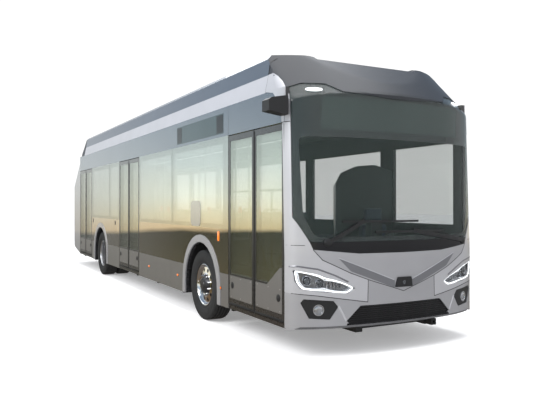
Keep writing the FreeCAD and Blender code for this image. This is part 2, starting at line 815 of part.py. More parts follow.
lamp_window = nose_window(front_shares(LAMP_SHARES), "LampWindow")
corner_shares = [(-EDGE_SHARE, VISOR_SHARES[0][1])] + VISOR_SHARES[:1] + SCREEN_LOW_SHARES[::-1]
corner_shares += SEAM_SHARES[:4] + FOLD_SHARES
corner = common(NOSE_SKIN, nose_window(front_shares(corner_shares), "CornerWindow"), "Corner")
corner_parts = both(cut(corner, [lamp_window], "CornerPanel")) + pillar_tabs
node("front_corners", group(corner_parts, "FrontCorners"))

hem = [(0, HEM_SHARES[0][1])] + HEM_SHARES[1:]
bumper_shares = mirrored(hem + FOLD_SHARES[::-1] + SEAM_SHARES[3:])
grille_window = nose_window(front_shares(mirrored(GRILLE_SHARES)), "GrilleWindow")
fog_windows = both(nose_window(front_shares(FOG_SHARES), "FogWindow"))
bumper = common(NOSE_SKIN, nose_window(front_shares(bumper_shares), "BumperWindow"), "Bumper")
node("front_bumper", cut(bumper, [grille_window] + fog_windows, "FrontBumper"))

recess = shaped(skin(nose_envelope, at("skin_thick"), at("recess_deep")).common(NOSE_ZONE), "RecessSkin")
node("lower_grille", common(recess, grille_window, "LowerGrille"))
lamp_solid = shaped(skin(nose_envelope, at("lamp_deep")).common(NOSE_ZONE), "LampSkin")
lamps = both(common(lamp_solid, lamp_window, "Headlamp"))
fogs = [common(recess, window, "FogBezel") for window in fog_windows]
node("front_lamps", group(lamps + fogs, "FrontLamps"))

visor_shares = [(-EDGE_SHARE, TOP_SHARE), (-EDGE_SHARE, VISOR_SHARES[0][1])] + VISOR_SHARES
visor = nose_window(front_shares(mirrored(visor_shares)), "VisorWindow")
cap_back = box(across, span(f"{CAP_REAR} - skin_thick", CAP_REAR), span("band_high", "pod_high + overrun"), "CapBack")
front_cap = fused([common(NOSE_SKIN, visor, "CapSkin"), common(nose_inside, cap_back, "CapClosing")], "FrontCap")
cap_zone = box(across, span(ROOF_REAR, f"{TAIL} + overrun"), span("cantrail_high", "pod_high + overrun"),
               "RearCapZone")
node("roof_caps", group([front_cap, common(TAIL_SKIN, cap_zone, "RearCap")], "RoofCaps"))


# The tail's panels

def rectangle(x_low, x_high, low, high):
    """A rectangle in the rear view."""
    return [(x_low, low), (x_high, low), (x_high, high), (x_low, high)]


belly_y = f"({TAIL} - belly_start)"
bend_y = f"({TAIL} - belly_bend)"
belly = plate("yz", [
    (belly_y, "0"), (belly_y, "skirt_low"), (bend_y, "skirt_low + belly_rise"),
    (f"{TAIL} + overrun", "belly_top"), (f"{TAIL} + overrun", "0"),
], across, "Belly")
lid_hole = tail_window(rectangle("-lid_half - lid_gap", "lid_half + lid_gap", "lid_low - lid_gap",
                                 "lid_high + lid_gap"), "LidHole")
glass_hole = tail_window(rectangle("-rear_glass_half", "rear_glass_half", "rear_glass_low", "rear_glass_high"),
                         "RearGlassHole")
lamp_holes = both(tail_window(rectangle("tail_lamp_in", "tail_lamp_out", "tail_lamp_low", "tail_lamp_high"),
                              "TailLampHole"))
low_zone = box(across, span(WALL_REAR, f"{TAIL} + overrun"), span("skirt_low", "waist_low"), "LowTailZone")
high_zone = box(across, span(WALL_REAR, f"{TAIL} + overrun"), span("waist_low", "cantrail_high"), "HighTailZone")
node("rear_panels", cut(common(TAIL_SKIN, high_zone), [lid_hole, glass_hole] + lamp_holes, "RearPanels"))
node("rear_window", common(TAIL_SKIN, glass_hole, "RearWindow"))
node("tail_lamps", group([common(TAIL_SKIN, hole, "TailLamp") for hole in lamp_holes], "TailLamps"))
node("rear_bumper", cut(common(TAIL_SKIN, low_zone), [belly, lid_hole], "RearBumper"))

lid_face = tail_window(rectangle("-lid_half", "lid_half", "lid_low", "lid_high"), "LidFace")
lid_parts = [common(TAIL_SKIN, lid_face, "LidSkin")]
for sign in SIDES.values():
    middle = f"{sign} * lid_hinge_middle"
    x = span(f"{middle} - lid_hinge_long / 2", f"{middle} + lid_hinge_long / 2")
    lid_parts.append(flatted("x", (x[0], f"{TAIL} + lid_hinge + running_gap", "lid_high + lid_gap"), "lid_hinge", x[1],
                             "lid_hinge_flat", "LidBarrel"))
    lid_parts.append(box(x, (TAIL, "lid_hinge"), ("lid_high - lid_strap", "lid_strap"), "LidStrap"))
    lid_parts.append(box(x, (f"{TAIL} + running_gap", "lid_hinge"), ("lid_high", "lid_gap"), "LidStrapTop"))
node("rear_lid", fused(lid_parts, "RearLid"))

inside_x = sided(1, f"-{WALL_IN}", WALL_IN)
bulkhead = box(across, (BULKHEAD, "bulkhead_thick"), span("floor_top", "ceiling_low"), "Bulkhead")
node("rear_bulkhead", common(bulkhead, tail_inside, "RearBulkhead"))
FRAME_START, FRAME_END = f"({NOSE} + rail_set)", f"({TAIL} - rail_set)"
KICK_SHARE, DRIVE_SHARE = 0.26, 0.91
KICK_END = between(FLOOR_REAR, FRAME_END, KICK_SHARE)
REAR_RAIL = f"({RAIL_LOW} + kick_rise)"
drive = box(("-drive_half", "2 * drive_half"), span(KICK_END, between(FLOOR_REAR, FRAME_END, DRIVE_SHARE)),
            span(f"{REAR_RAIL} + rail_deep", "drive_high"), "TractionBattery")
node("traction_battery", drive)


# Wheel housings folded from sheet, the floor round them, and the underframe

housing_r = "(arch_radius + housing_clear)"
HOUSING_SHARES = [(-1, 0), (-1, 0.42), (-0.60, 1), (0.60, 1), (1, 0.42), (1, 0)]


def housing_block(axle, grow):
    """The folded housing's outer form, or with no growth the space inside it, on the left."""
    reach = f"({housing_r} + {grow})"
    points = [(f"{AXLES[axle]} + {u} * {reach}", f"{FLOOR_LOW} + {v} * (tyre_radius - {FLOOR_LOW} + {reach})")
              for u, v in HOUSING_SHARES]
    x = sided(1, f"{WALL_IN} - housing_depth - {grow}", WALL_IN)
    return plate("yz", points, x, "HousingForm")


shells = []
wells = []
for axle in AXLES:
    shells += both(cut(housing_block(axle, "housing_thick"), [housing_block(axle, "0")], "Housing"))
    wells += both(housing_block(axle, "housing_thick"))
node("wheel_housings", group(shells, "WheelHousings"))
flat = box(inside_x, span(NOSE_REAR, FLOOR_REAR), span(FLOOR_LOW, "floor_top"), "FloorPlate")
step = box(inside_x, span(f"{NOSE} - overrun", NOSE_REAR), span(FLOOR_LOW, "floor_top"), "NoseFloorBlock")
node("floor", cut(fused([flat, common(nose_inside, step, "NoseFloor")]), wells, "Floor"))

RAIL_IN, RAIL_OUT = "(rail_middle - rail_wide / 2)", "(rail_middle + rail_wide / 2)"
rail = plate("yz", [
    (FRAME_START, RAIL_LOW), (FLOOR_REAR, RAIL_LOW), (KICK_END, REAR_RAIL), (FRAME_END, REAR_RAIL),
    (FRAME_END, f"{REAR_RAIL} + rail_deep"), (KICK_END, f"{REAR_RAIL} + rail_deep"),
    (FLOOR_REAR, FLOOR_LOW), (FRAME_START, FLOOR_LOW),
], sided(1, RAIL_IN, RAIL_OUT), "Rail")
frame = both(rail)
CROSS_SHARES = [0.0, 0.135, 0.285, 0.390, 0.495, 0.600, 0.798, 0.900]
member_z = span(f"{FLOOR_LOW} - member_deep", FLOOR_LOW)
for share in CROSS_SHARES:
    place = between(FRAME_START, FRAME_END, share)
    wide = WALL_IN if 0 < share < 1 else RAIL_IN
    frame.append(box(sided(1, f"-{wide}", wide), (place, "member_wide"), member_z, "CrossMember"))
frame.append(box(sided(1, f"-{RAIL_IN}", RAIL_IN), (f"{FRAME_END} - member_wide", "member_wide"),
                 (REAR_RAIL, "member_deep"), "RearCrossMember"))
tow_holes = []
for start, rail_low in ((f"{FRAME_START} - tow_long", RAIL_LOW), (FRAME_END, REAR_RAIL)):
    tow_z = f"({rail_low} + rail_deep / 2)"
    x = ("rail_middle - tow_block / 2", "tow_block")
    frame.append(box(x, (start, "tow_long"), (f"{tow_z} - tow_block / 2", "tow_block"), "TowBlock"))
    tow_holes.append(rod("y", ("rail_middle", start, tow_z), "tow_radius", "tow_long", 0, "TowHole"))
node("underframe", cut(fused(frame), tow_holes, "Underframe"))


# Axles: a dropped front beam with yokes, and a portal rear axle

HUB = "tyre_radius"
kingpin_low, kingpin_high = f"({HUB} - kingpin_half)", f"({HUB} + kingpin_half)"
half_beam = "(beam_long / 2)"
beam_y = span(f"{FRONT_AXLE} - {half_beam}", f"{FRONT_AXLE} + {half_beam}")
beam_high = "(beam_low + beam_deep)"
yoke_in, yoke_out = f"({KINGPIN} - yoke_inset - yoke_wide)", f"({KINGPIN} - yoke_inset)"
front_parts = [box(sided(1, f"-{yoke_out}", yoke_out), beam_y, span("beam_low", beam_high), "FrontBeam")]
yoke = [
    box(sided(1, yoke_in, yoke_out), beam_y, span("beam_low", f"{kingpin_high} + running_gap + yoke_thick"), "Yoke"),
    box(sided(1, yoke_out, f"{KINGPIN} + kingpin_radius"),
        span(f"{FRONT_AXLE} - kingpin_radius", f"{FRONT_AXLE} + kingpin_radius"),
        span(f"{kingpin_low} - running_gap - yoke_thick", f"{kingpin_low} - running_gap"), "YokeLower"),
    box(sided(1, yoke_out, f"{KINGPIN} + kingpin_radius"),
        span(f"{FRONT_AXLE} - kingpin_radius", f"{FRONT_AXLE} + kingpin_radius"),
        (f"{kingpin_high} + running_gap", "yoke_thick"), "YokeUpper"),
    box(sided(1, RAIL_IN, RAIL_OUT), beam_y, span(beam_high, RAIL_LOW), "FrontSpringSeat"),
]
for part in yoke:
    front_parts += both(part)
node("front_axle", fused(front_parts, "FrontAxle"))

STUB_END = f"({TYRE_MIDDLE} + front_dish - disc_thick - hub_long - running_gap)"
for side, sign in SIDES.items():
    post = box(span(f"{sign} * {KINGPIN} - kingpin_radius", f"{sign} * {KINGPIN} + kingpin_radius"),
               span(f"{FRONT_AXLE} - kingpin_radius", f"{FRONT_AXLE} + kingpin_radius"),
               span(kingpin_low, f"{kingpin_high} - kingpin_neck"), "Kingpin")
    neck = flatted("z", (f"{sign} * {KINGPIN}", FRONT_AXLE, f"{kingpin_high} - kingpin_neck"), "neck_radius",
                   "kingpin_neck", "neck_flat", "KingpinNeck")
    x = sided(sign, f"{KINGPIN} + kingpin_radius", STUB_END)
    stub = rod("x", (x[0], FRONT_AXLE, HUB), "stub_radius", x[1], ROD_SIDES, "Stub")
    node("knuckle_" + side, fused([post, neck, stub], "Knuckle"))

PORTAL_OUT = "(portal_inner + portal_wide)"
DUAL_MIDDLE = f"({TYRE_MIDDLE} - dual_pitch / 2)"
portal_y = span(f"{REAR_AXLE} - portal_long / 2", f"{REAR_AXLE} + portal_long / 2")
AXLE_END = f"({DUAL_MIDDLE} - disc_thick - hub_long - running_gap)"
rear_parts = [box(sided(1, f"-{PORTAL_OUT}", PORTAL_OUT), portal_y, span("beam_low", beam_high), "RearBeam")]
portal = [
    box(sided(1, "portal_inner", PORTAL_OUT), portal_y, span("beam_low", f"{HUB} + axle_radius"), "Portal"),
    box(sided(1, RAIL_IN, RAIL_OUT), portal_y, span(beam_high, RAIL_LOW), "RearSpringSeat"),
    rod("x", (PORTAL_OUT, REAR_AXLE, HUB), "axle_radius", f"{AXLE_END} - {PORTAL_OUT}", ROD_SIDES, "HalfShaft"),
]
for part in portal:
    rear_parts += both(part)
node("rear_axle", fused(rear_parts, "RearAxle"))


# Wheels: lofted tyres, and rims whose dished discs carry a ring of hand holes

def loft(stations, axle, sides=TYRE_SIDES, name="Loft"):
    """A solid of flat faces through many-sided outlines at (x, radius) stations about an axle's hub line."""
    rings = []
    for x, radius in stations:
        size = at(radius)
        turns = [2 * math.pi * i / sides for i in range(sides)]
        rings.append([Vector(at(x), at(AXLES[axle]) + size * math.sin(t), at(HUB) - size * math.cos(t)) for t in turns])
    corners = [rings[0]]
    for near, far in zip(rings, rings[1:]):
        corners += [[near[i], near[(i + 1) % sides], far[(i + 1) % sides], far[i]] for i in range(sides)]
    corners.append(rings[-1])
    faces = [Part.Face(Part.makePolygon(points + points[:1])) for points in corners]
    return shaped(Part.makeSolid(Part.makeShell(faces)), name)


def turned(axle, low, high, radius, sides=TYRE_SIDES, name="Turned"):
    """A round or many-sided length of the hub line between two places across the bus."""
    x = span(low, high)
    return rod("x", (x[0], AXLES[axle], HUB), radius, x[1], sides, name)


def hub_cap(axle, low, high):
    """A hub's cap, with a small round boss on the hub line."""
    x = span(f"{high} - boss_long", high)
    return [
        turned(axle, low, f"{high} - boss_long", "cap_radius", HUB_SIDES, "HubCap"),
        flatted("x", (x[0], AXLES[axle], HUB), "boss_radius", x[1], "boss_flat", "HubBoss"),
    ]


def tyre(axle, middle):
    """A tyre: beads, bulging sides and a tread with rounded shoulders."""
    half_wide = "tyre_wide / 2"
    profile = [
        (f"{half_wide} - bead_inset", "bead_radius + bead_inset / 2"),
        (half_wide, "tyre_radius - bulge_drop"),
        (f"{half_wide} - shoulder", "tyre_radius"),
    ]
    stations = [(f"{middle} - ({u})", r) for u, r in profile]
    stations += [(f"{middle} + {u}", r) for u, r in reversed(profile)]
    solid = loft(stations, axle, name="TyreForm")
    bore = turned(axle, f"{middle} - {half_wide}", f"{middle} + {half_wide}", "bead_radius", name="TyreBore")
    return cut(solid, [bore], "Tyre")


def barrel(axle, middle):
    """A rim's open barrel, as wide as the tyre's beads."""
    reach = "(tyre_wide / 2 - bead_inset)"
    outer = turned(axle, f"{middle} - {reach}", f"{middle} + {reach}", "bead_radius", name="BarrelOuter")
    bore = turned(axle, f"{middle} - {reach} - overrun", f"{middle} + {reach} + overrun",
                  "bead_radius - rim_wall", name="BarrelBore")
    return cut(outer, [bore], "Barrel")


def dished(axle, flat_x, way):
    """A flat disc at flat_x whose edge runs as a cone into the barrel, towards way."""
    deep = "3 * disc_thick"
    big = "bead_radius - disc_lap"
    outer = loft([(flat_x, "disc_flat"), (f"{flat_x} + {way} * {deep}", big)], axle, name="DishOuter")
    inner = loft([(f"{flat_x} + {way} * disc_thick", "disc_flat"),
                  (f"{flat_x} + {way} * (disc_thick + {deep})", big)], axle, name="DishInner")
    return cut(outer, [inner], "Dish")


def hand_holes(axle, low, high):
    """A ring of holes through a wheel's disc."""
    x = span(low, high)
    holes = []
    for i in range(HAND_HOLES):
        turn = 2 * math.pi * i / HAND_HOLES
        holes.append(rod("x", (x[0], f"{AXLES[axle]} + {math.sin(turn):.9f} * hand_ring",
                               f"{HUB} + {math.cos(turn):.9f} * hand_ring"), "hand_hole", x[1], HOLE_SIDES, "HandHole"))
    return holes


FRONT_FLAT = f"({TYRE_MIDDLE} + front_dish)"
front_rim = fused([
    barrel("front", TYRE_MIDDLE),
    cut(dished("front", FRONT_FLAT, "(-1)"), hand_holes("front", f"{FRONT_FLAT} - 2 * disc_thick",
                                                         f"{FRONT_FLAT} + disc_thick"), "FrontDish"),
    turned("front", f"{FRONT_FLAT} - disc_thick - hub_long", f"{FRONT_FLAT} + disc_thick", "hub_radius", HUB_SIDES),
] + hub_cap("front", f"{FRONT_FLAT} + disc_thick", f"{FRONT_FLAT} + hub_cap"), "FrontRim")
rear_dishes = [
    dished("rear", DUAL_MIDDLE, "1"),
    dished("rear", DUAL_MIDDLE, "(-1)"),
]
rear_rims = fused([
    barrel("rear", TYRE_MIDDLE),
    barrel("rear", f"({TYRE_MIDDLE} - dual_pitch)"),
    cut(fused(rear_dishes, "RearDishes"), hand_holes("rear", f"{DUAL_MIDDLE} - 2 * disc_thick",
                                                     f"{DUAL_MIDDLE} + 2 * disc_thick"), "RearDishesBored"),
    turned("rear", f"{DUAL_MIDDLE} - disc_thick - hub_long", f"{DUAL_MIDDLE} + disc_thick + hub_long", "hub_radius",
           HUB_SIDES),
] + hub_cap("rear", f"{DUAL_MIDDLE} + disc_thick + hub_long", f"{DUAL_MIDDLE} + rear_cap"), "RearRims")
front_tyre = tyre("front", TYRE_MIDDLE)
rear_tyres = group([tyre("rear", TYRE_MIDDLE), tyre("rear", f"({TYRE_MIDDLE} - dual_pitch)")], "RearTyres")
for label, left in (("tyre_front", front_tyre), ("rim_front", front_rim),
                    ("tyres_rear", rear_tyres), ("rims_rear", rear_rims)):
    node(f"{label}_left", left)
    node(f"{label}_right", mirror(left, "RightWheelPart"))


# Doors: six leaves, each a frame with a pane, a proud lower panel and a grab bar

LEAF_OUT = HALF
LEAF_IN = f"({HALF} - leaf_thick)"
PIN_X = f"({HALF} - leaf_thick / 2)"
LEAF_LOW, LEAF_HIGH = "leaf_foot", "(glass_high - leaf_gap)"
LEAF_LONG = "((door_wide - 3 * leaf_gap) / 2)"
PLAIN_PANEL_SHARES = [(0.06, 0), (0.94, 0), (0.94, 1), (0.06, 1)]
SWEPT_PANEL_SHARES = [(0.06, 0), (0.94, 0), (0.94, 1), (0.55, 1), (0.124, 1.74), (0.06, 1.74)]
GRIP_SHARE = 0.62


def leaf(name, place, pin_first):
    """A leaf with its pins; the pins are at its low end along Y where pin_first, else at its high end."""
    start = f"({place} + leaf_gap)" if pin_first else f"({place} + 2 * leaf_gap + {LEAF_LONG})"
    pin_y = f"({start} + pin_inset)" if pin_first else f"({start} + {LEAF_LONG} - pin_inset)"
    grip_share = GRIP_SHARE if pin_first else 1 - GRIP_SHARE
    whole = box(sided(-1, LEAF_IN, LEAF_OUT), (start, LEAF_LONG), span(LEAF_LOW, LEAF_HIGH), "LeafPlate")
    pane_y = span(f"{start} + leaf_frame", f"{start} + {LEAF_LONG} - leaf_frame")
    pane_z = span("waist_low + leaf_frame / 2", f"{LEAF_HIGH} - leaf_head")
    hole = box(sided(-1, f"{LEAF_IN} - overrun", f"{LEAF_OUT} + overrun"), pane_y, pane_z, "PaneHole")
    shares = SWEPT_PANEL_SHARES if name == "a_front" else PLAIN_PANEL_SHARES
    panel_points = scaled(shares, LEAF_LONG, f"(waist_low - {LEAF_LOW} - leaf_panel_rise)", start,
                          f"({LEAF_LOW} + leaf_panel_rise)")
    panel = plate("yz", panel_points, sided(-1, f"{LEAF_OUT} - leaf_thick / 2", f"{LEAF_OUT} + leaf_panel_proud"),
                  "LeafPanel")
    pins = [
        flatted("z", (f"-{PIN_X}", pin_y, "floor_top + running_gap"), "pin_radius",
                f"{LEAF_LOW} - floor_top - running_gap", "pin_flat", "LowerPin"),
        rod("z", (f"-{PIN_X}", pin_y, LEAF_HIGH), "pin_radius", "leaf_gap - running_gap", ROD_SIDES, "UpperPin"),
    ]
    grip_x = f"-({LEAF_IN} - grip_off)"
    grip_y = f"({start} + {grip_share} * {LEAF_LONG})"
    grip = [rod("z", (grip_x, grip_y, "grip_low"), "grip_radius", "grip_high - grip_low", HOLE_SIDES, "Grip")]
    cross_y = span(f"{start} + leaf_frame / 2", f"{start} + {LEAF_LONG} - leaf_frame / 2")
    for height in ("grip_low", "(grip_high - 2 * grip_radius)"):
        grip.append(box(sided(-1, f"{LEAF_IN} - grip_radius", LEAF_IN), cross_y, (height, "2 * grip_radius"), "GripBar"))
        grip.append(box(sided(-1, f"{LEAF_IN} - grip_off", LEAF_IN), (f"{grip_y} - grip_radius / 2", "grip_radius"),
                        (height, "2 * grip_radius"), "GripFoot"))
    framed = cut(whole, [hole], "LeafFrame")
    if name == "a_front":
        lower_pane = cut(box(sided(-1, f"{LEAF_IN} + pane_inset", f"{LEAF_OUT} - pane_inset"), pane_y, pane_z, "Pane"),
                         [panel], "PaneCut")
    else:
        lower_pane = box(sided(-1, f"{LEAF_IN} + pane_inset", f"{LEAF_OUT} - pane_inset"), pane_y, pane_z, "Pane")
    node(f"door_{name}", fused([framed, panel] + pins + grip, "Leaf"))
    node(f"door_glass_{name}", lower_pane)


for door, place in DOORS.items():
    leaf(f"{door}_front", place, True)
    leaf(f"{door}_rear", place, False)


# Cab

DASH_IN = f"({NOSE} + dash_front)"
dash_points = [
    (f"{NOSE} + desk_front", "floor_top"), (f"{NOSE} + desk_front", "dash_high - dash_brow"),
    (f"{DASH_IN} - dash_brow", "dash_high + dash_brow"), (DASH_IN, "dash_high"),
    (f"{DASH_IN} + dash_long", "dash_high - dash_brow"), (f"{DASH_IN} + dash_long", "desk_low"),
    (f"{DASH_IN} + dash_brow", "desk_low"), (f"{DASH_IN} + dash_brow", "floor_top"),
]
dash_x = span(f"{WALL_IN} - dash_gap - dash_reach", f"{WALL_IN} - dash_gap")
dash = plate("yz", dash_points, dash_x, "Dash")
node("dashboard", dash)

wheel_at = (f"{WALL_IN} - desk_set", f"{DASH_IN} + dash_long", "dash_high + wheel_ring")


def tilted(features, place):
    """Features made about the origin, leaned back and set down at a place."""
    made = group(features, "Tilted")
    made.Placement = Placement(Vector(), Rotation(Vector(1, 0, 0), at("wheel_lean")))
    for axis, text in zip(("x", "y", "z"), place):
        made.setExpression(f"Placement.Base.{axis}", bound(text))
    return made


ring_outer = rod("z", ("0", "0", "0"), "wheel_radius", "wheel_ring", HUB_SIDES, "RingOuter")
ring_inner = rod("z", ("0", "0", "-overrun"), "wheel_radius - wheel_ring", "wheel_ring + 2 * overrun", HUB_SIDES,
                 "RingInner")
spoke = box(("-(wheel_radius - wheel_ring / 2)", "2 * wheel_radius - wheel_ring"),
            ("-wheel_ring", "2 * wheel_ring"), ("0", "wheel_ring / 2"), "Spoke")
column = rod("z", ("0", "0", "-column_long"), "column_radius", "column_long + wheel_ring / 2", ROD_SIDES, "Column")
wheel = fused([cut(ring_outer, [ring_inner], "Ring"), spoke, column], "SteeringForm")
node("steering_wheel", cut(tilted([wheel], wheel_at), [dash], "SteeringWheel"))


def seat(x, start, foot, name="Seat"):
    """A seat's pan and leaning back in one bent section, over a pedestal."""
    top = f"({foot} + seat_high)"
    points = [
        (start, f"{top} - seat_shell"), (start, top), (f"{start} + seat_deep - seat_shell", f"{top} - seat_shell / 2"),
        (f"{start} + seat_deep + seat_rake - seat_shell", f"{top} + seat_back"),
        (f"{start} + seat_deep + seat_rake", f"{top} + seat_back"),
        (f"{start} + seat_deep", f"{top} - seat_shell"),
    ]
    return plate("yz", points, x, name)


driver_x = span(f"{WALL_IN} - desk_set - seat_half", f"{WALL_IN} - desk_set + seat_half")
driver_y = f"({NOSE} + driver_set)"
driver = [
    seat(driver_x, driver_y, "driver_foot", "DriverShell"),
    box(span(f"{WALL_IN} - desk_set - seat_foot", f"{WALL_IN} - desk_set + seat_foot"),
        (f"{driver_y} + seat_foot", "2 * seat_foot"), span("floor_top", "driver_foot + seat_high - seat_shell"),
        "DriverPedestal"),
]
node("driver_seat", fused(driver, "DriverSeat"))
PARTITION_SHARES = [(0, 0), (1, 0), (1, 0.955), (0.67, 1), (0.36, 0.985), (0.10, 0.93), (0, 0.84)]
partition_points = scaled(PARTITION_SHARES, "partition_wide", "(partition_high - floor_top)",
                          f"({WALL_IN} - partition_wide)", "floor_top")
node("cab_partition", plate("xz", partition_points, (f"{NOSE} + partition_set", "partition_thick"), "CabPartition"))
sign_x = ("-sign_box_half", "2 * sign_box_half")
sign_parts = [
    box(sign_x, (f"{NOSE} + sign_box_set", "sign_box_deep"), span("sign_box_low", "ceiling_low"), "SignBox"),
    box(sign_x, span(f"{NOSE} + sign_box_set", CAP_REAR), ("ceiling_low", "wheel_ring"), "SignShelf"),
]
node("destination_sign", fused(sign_parts, "DestinationSign"))


# Seats and rails

ROW_SHARES = [0.020, 0.215, 0.410, 0.605, 0.800]
front_rows = [between(*BETWEEN_ARCHES, share) for share in ROW_SHARES]
rear_rows = [f"({REAR_AXLE} + {TRIM_OUT})", f"({WALL_REAR} - 2 * seat_deep)"]
seats = []
for sign, rows in ((1, front_rows + rear_rows), (-1, front_rows[:1])):
    seat_in, seat_out = "aisle_half", f"({WALL_IN} - seat_wall_gap)"
    middle = f"(({seat_in} + {seat_out}) / 2)"
    for start in rows:
        shells_pair = [seat(sided(sign, seat_in, f"{middle} - panel_joint"), start, "floor_top"),
                       seat(sided(sign, f"{middle} + panel_joint", seat_out), start, "floor_top")]
        foot = box(sided(sign, f"{middle} - 2 * seat_foot", f"{middle} + 2 * seat_foot"),
                   (f"{start} + seat_foot", "2 * seat_foot"), span("floor_top", "floor_top + seat_high - seat_shell"),
                   "SeatFoot")
        seats.append(fused(shells_pair + [foot], "SeatPair"))
node("passenger_seats", group(seats, "PassengerSeats"))

POLE_LEFT_SHARES = [0.425, 0.595, 0.730, 0.834]
POLE_RIGHT_SHARES = [0.144, 0.262, 0.425, 0.632, 0.694, 0.845]
rail_x = "(aisle_half - pole_set)"
rails = []
for sign, pole_shares in ((1, POLE_LEFT_SHARES), (-1, POLE_RIGHT_SHARES)):
    x = f"{sign} * {rail_x}"
    ends = (between(NOSE_REAR, WALL_REAR, pole_shares[0]), between(NOSE_REAR, WALL_REAR, pole_shares[-1]))
    y = span(*ends)
    parts = [rod("y", (x, y[0], "rail_high"), "pole_radius", y[1], HOLE_SIDES, "CeilingRail")]
    for share in pole_shares:
        parts.append(rod("z", (x, between(NOSE_REAR, WALL_REAR, share), "floor_top"), "pole_radius",
                         "ceiling_low - floor_top", HOLE_SIDES, "Pole"))
    rails.append(fused(parts, "RailRun"))
node("handrails", group(rails, "Handrails"))


# Outside: camera pods and wipers

POD_ARM_SHARES = [(0, 0), (1, 0.15), (1, 0.70), (0.85, 0.82), (0, 1)]
pod_points = scaled(POD_ARM_SHARES, "pod_reach", "pod_deep", f"({HALF} + running_gap)", "pod_low")
far_pod = plate("xz", pod_points, (f"{NOSE} + pod_set + pod_back", "pod_long"), "FarPod")
near_pod = mirror(plate("xz", pod_points, (f"{NOSE} + pod_set", "pod_long"), "NearPod"))
node("camera_pods", group([near_pod, far_pod], "CameraPods"))

wiper_skin = shaped(nose_envelope(-at("wiper_thick")).cut(nose_envelope(0.0)).common(NOSE_ZONE.fuse(
    slab((-FAR, FAR), (at(f"{NOSE} - 2 * overrun"), at(NOSE)), (0, SKY)))), "WiperLayer")
BLADE_SHARES = [((-0.590, 0.5020), (0.167, 0.5010)), ((-0.288, 0.4620), (0.490, 0.4600))]
ARM_SHARES = [((-0.714, 0.4250), (-0.395, 0.5030)), ((0.782, 0.4160), (0.110, 0.4640))]


def strip_between(ends, wide):
    """A straight strip in the front view between two places in shares, as wide as a size."""
    (u0, v0), (u1, v1) = ends
    points = []
    for u, v, way in ((u0, v0, -1), (u1, v1, -1), (u1, v1, 1), (u0, v0, 1)):
        points.append((f"{u} * {HALF}", f"{v} * cantrail_high + {way} * {wide} / 2"))
    return plate("xz", points, span(f"{NOSE} - 2 * overrun", CAP_REAR), "WiperWindow")


wiper_parts = [common(wiper_skin, strip_between(ends, "wiper_wide"), "Wiper") for ends in BLADE_SHARES]
wiper_parts += [common(wiper_skin, strip_between(ends, "2 * wiper_wide"), "WiperArm") for ends in ARM_SHARES]
node("wipers", group([fused([wiper_parts[0], wiper_parts[2]], "RightWiper"),
                      fused([wiper_parts[1], wiper_parts[3]], "LeftWiper")], "Wipers"))


# Every object is checked before the pieces are written out

doc.recompute()
os.makedirs("parts", exist_ok=True)
for feature in doc.Objects:
    if "Invalid" in feature.State or "Error" in feature.State:
        raise RuntimeError(f"{feature.Name} has state {feature.State}")
for feature in NODES:
    shape = feature.Shape
    if shape.isNull() or not shape.isValid() or not shape.Solids:
        raise RuntimeError(f"{feature.Label} has no valid solid")
    shape.exportStep(f"parts/{feature.Label}.step")
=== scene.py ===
import json
import math

import bmesh
import bpy
from mathutils import Matrix, Vector

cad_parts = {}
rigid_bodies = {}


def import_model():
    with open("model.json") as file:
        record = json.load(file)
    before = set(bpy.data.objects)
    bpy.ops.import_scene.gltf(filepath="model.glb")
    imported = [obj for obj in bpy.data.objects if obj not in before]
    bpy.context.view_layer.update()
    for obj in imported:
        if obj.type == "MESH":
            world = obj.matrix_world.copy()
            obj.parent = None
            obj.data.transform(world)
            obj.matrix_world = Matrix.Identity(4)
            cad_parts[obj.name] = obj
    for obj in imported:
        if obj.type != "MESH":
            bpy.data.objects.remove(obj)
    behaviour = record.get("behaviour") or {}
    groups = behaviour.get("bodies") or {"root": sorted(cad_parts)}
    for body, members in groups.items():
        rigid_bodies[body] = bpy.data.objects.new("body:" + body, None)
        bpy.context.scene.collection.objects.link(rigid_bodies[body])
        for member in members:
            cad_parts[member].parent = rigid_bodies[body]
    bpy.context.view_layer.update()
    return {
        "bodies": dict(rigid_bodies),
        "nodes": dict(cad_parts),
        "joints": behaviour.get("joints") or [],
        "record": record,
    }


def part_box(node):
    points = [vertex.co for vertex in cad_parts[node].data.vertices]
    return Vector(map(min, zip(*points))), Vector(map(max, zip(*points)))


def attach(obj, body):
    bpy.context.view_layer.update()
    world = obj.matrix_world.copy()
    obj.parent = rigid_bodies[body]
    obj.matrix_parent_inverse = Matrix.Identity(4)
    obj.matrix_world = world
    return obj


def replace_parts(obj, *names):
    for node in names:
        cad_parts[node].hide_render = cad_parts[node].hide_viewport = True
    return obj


# A low-floor city bus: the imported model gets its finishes, and small parts are built on it.
# Metres. The nose points to -Y, the doors are on the -X side, +Z is up.

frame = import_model()
NODES = frame["nodes"]
SIDES = {"left": 1, "right": -1}
HALF, GLASS_HIGH, CANTRAIL_HIGH, BAND_HIGH = 1.275, 2.435, 2.8, 3.0
LEAVES = [f"{door}_{end}" for door in "abc" for end in ("front", "rear")]
TURN = 2 * math.pi
TINY = 1e-9


# Finishes

def fill(made, inputs):
    """Sets a node's inputs to values, or links them where another node's output is given."""
    for name, value in inputs.items():
        if isinstance(value, bpy.types.NodeSocket):
            made.id_data.links.new(value, made.inputs[name])
        else:
            made.inputs[name].default_value = value


def node(tree, kind, inputs, out=0, **settings):
    """Adds a shader node and returns one of its outputs."""
    made = tree.nodes.new(f"ShaderNode{kind}")
    for name, value in settings.items():
        setattr(made, name, value)
    fill(made, inputs)
    return made.outputs[out]


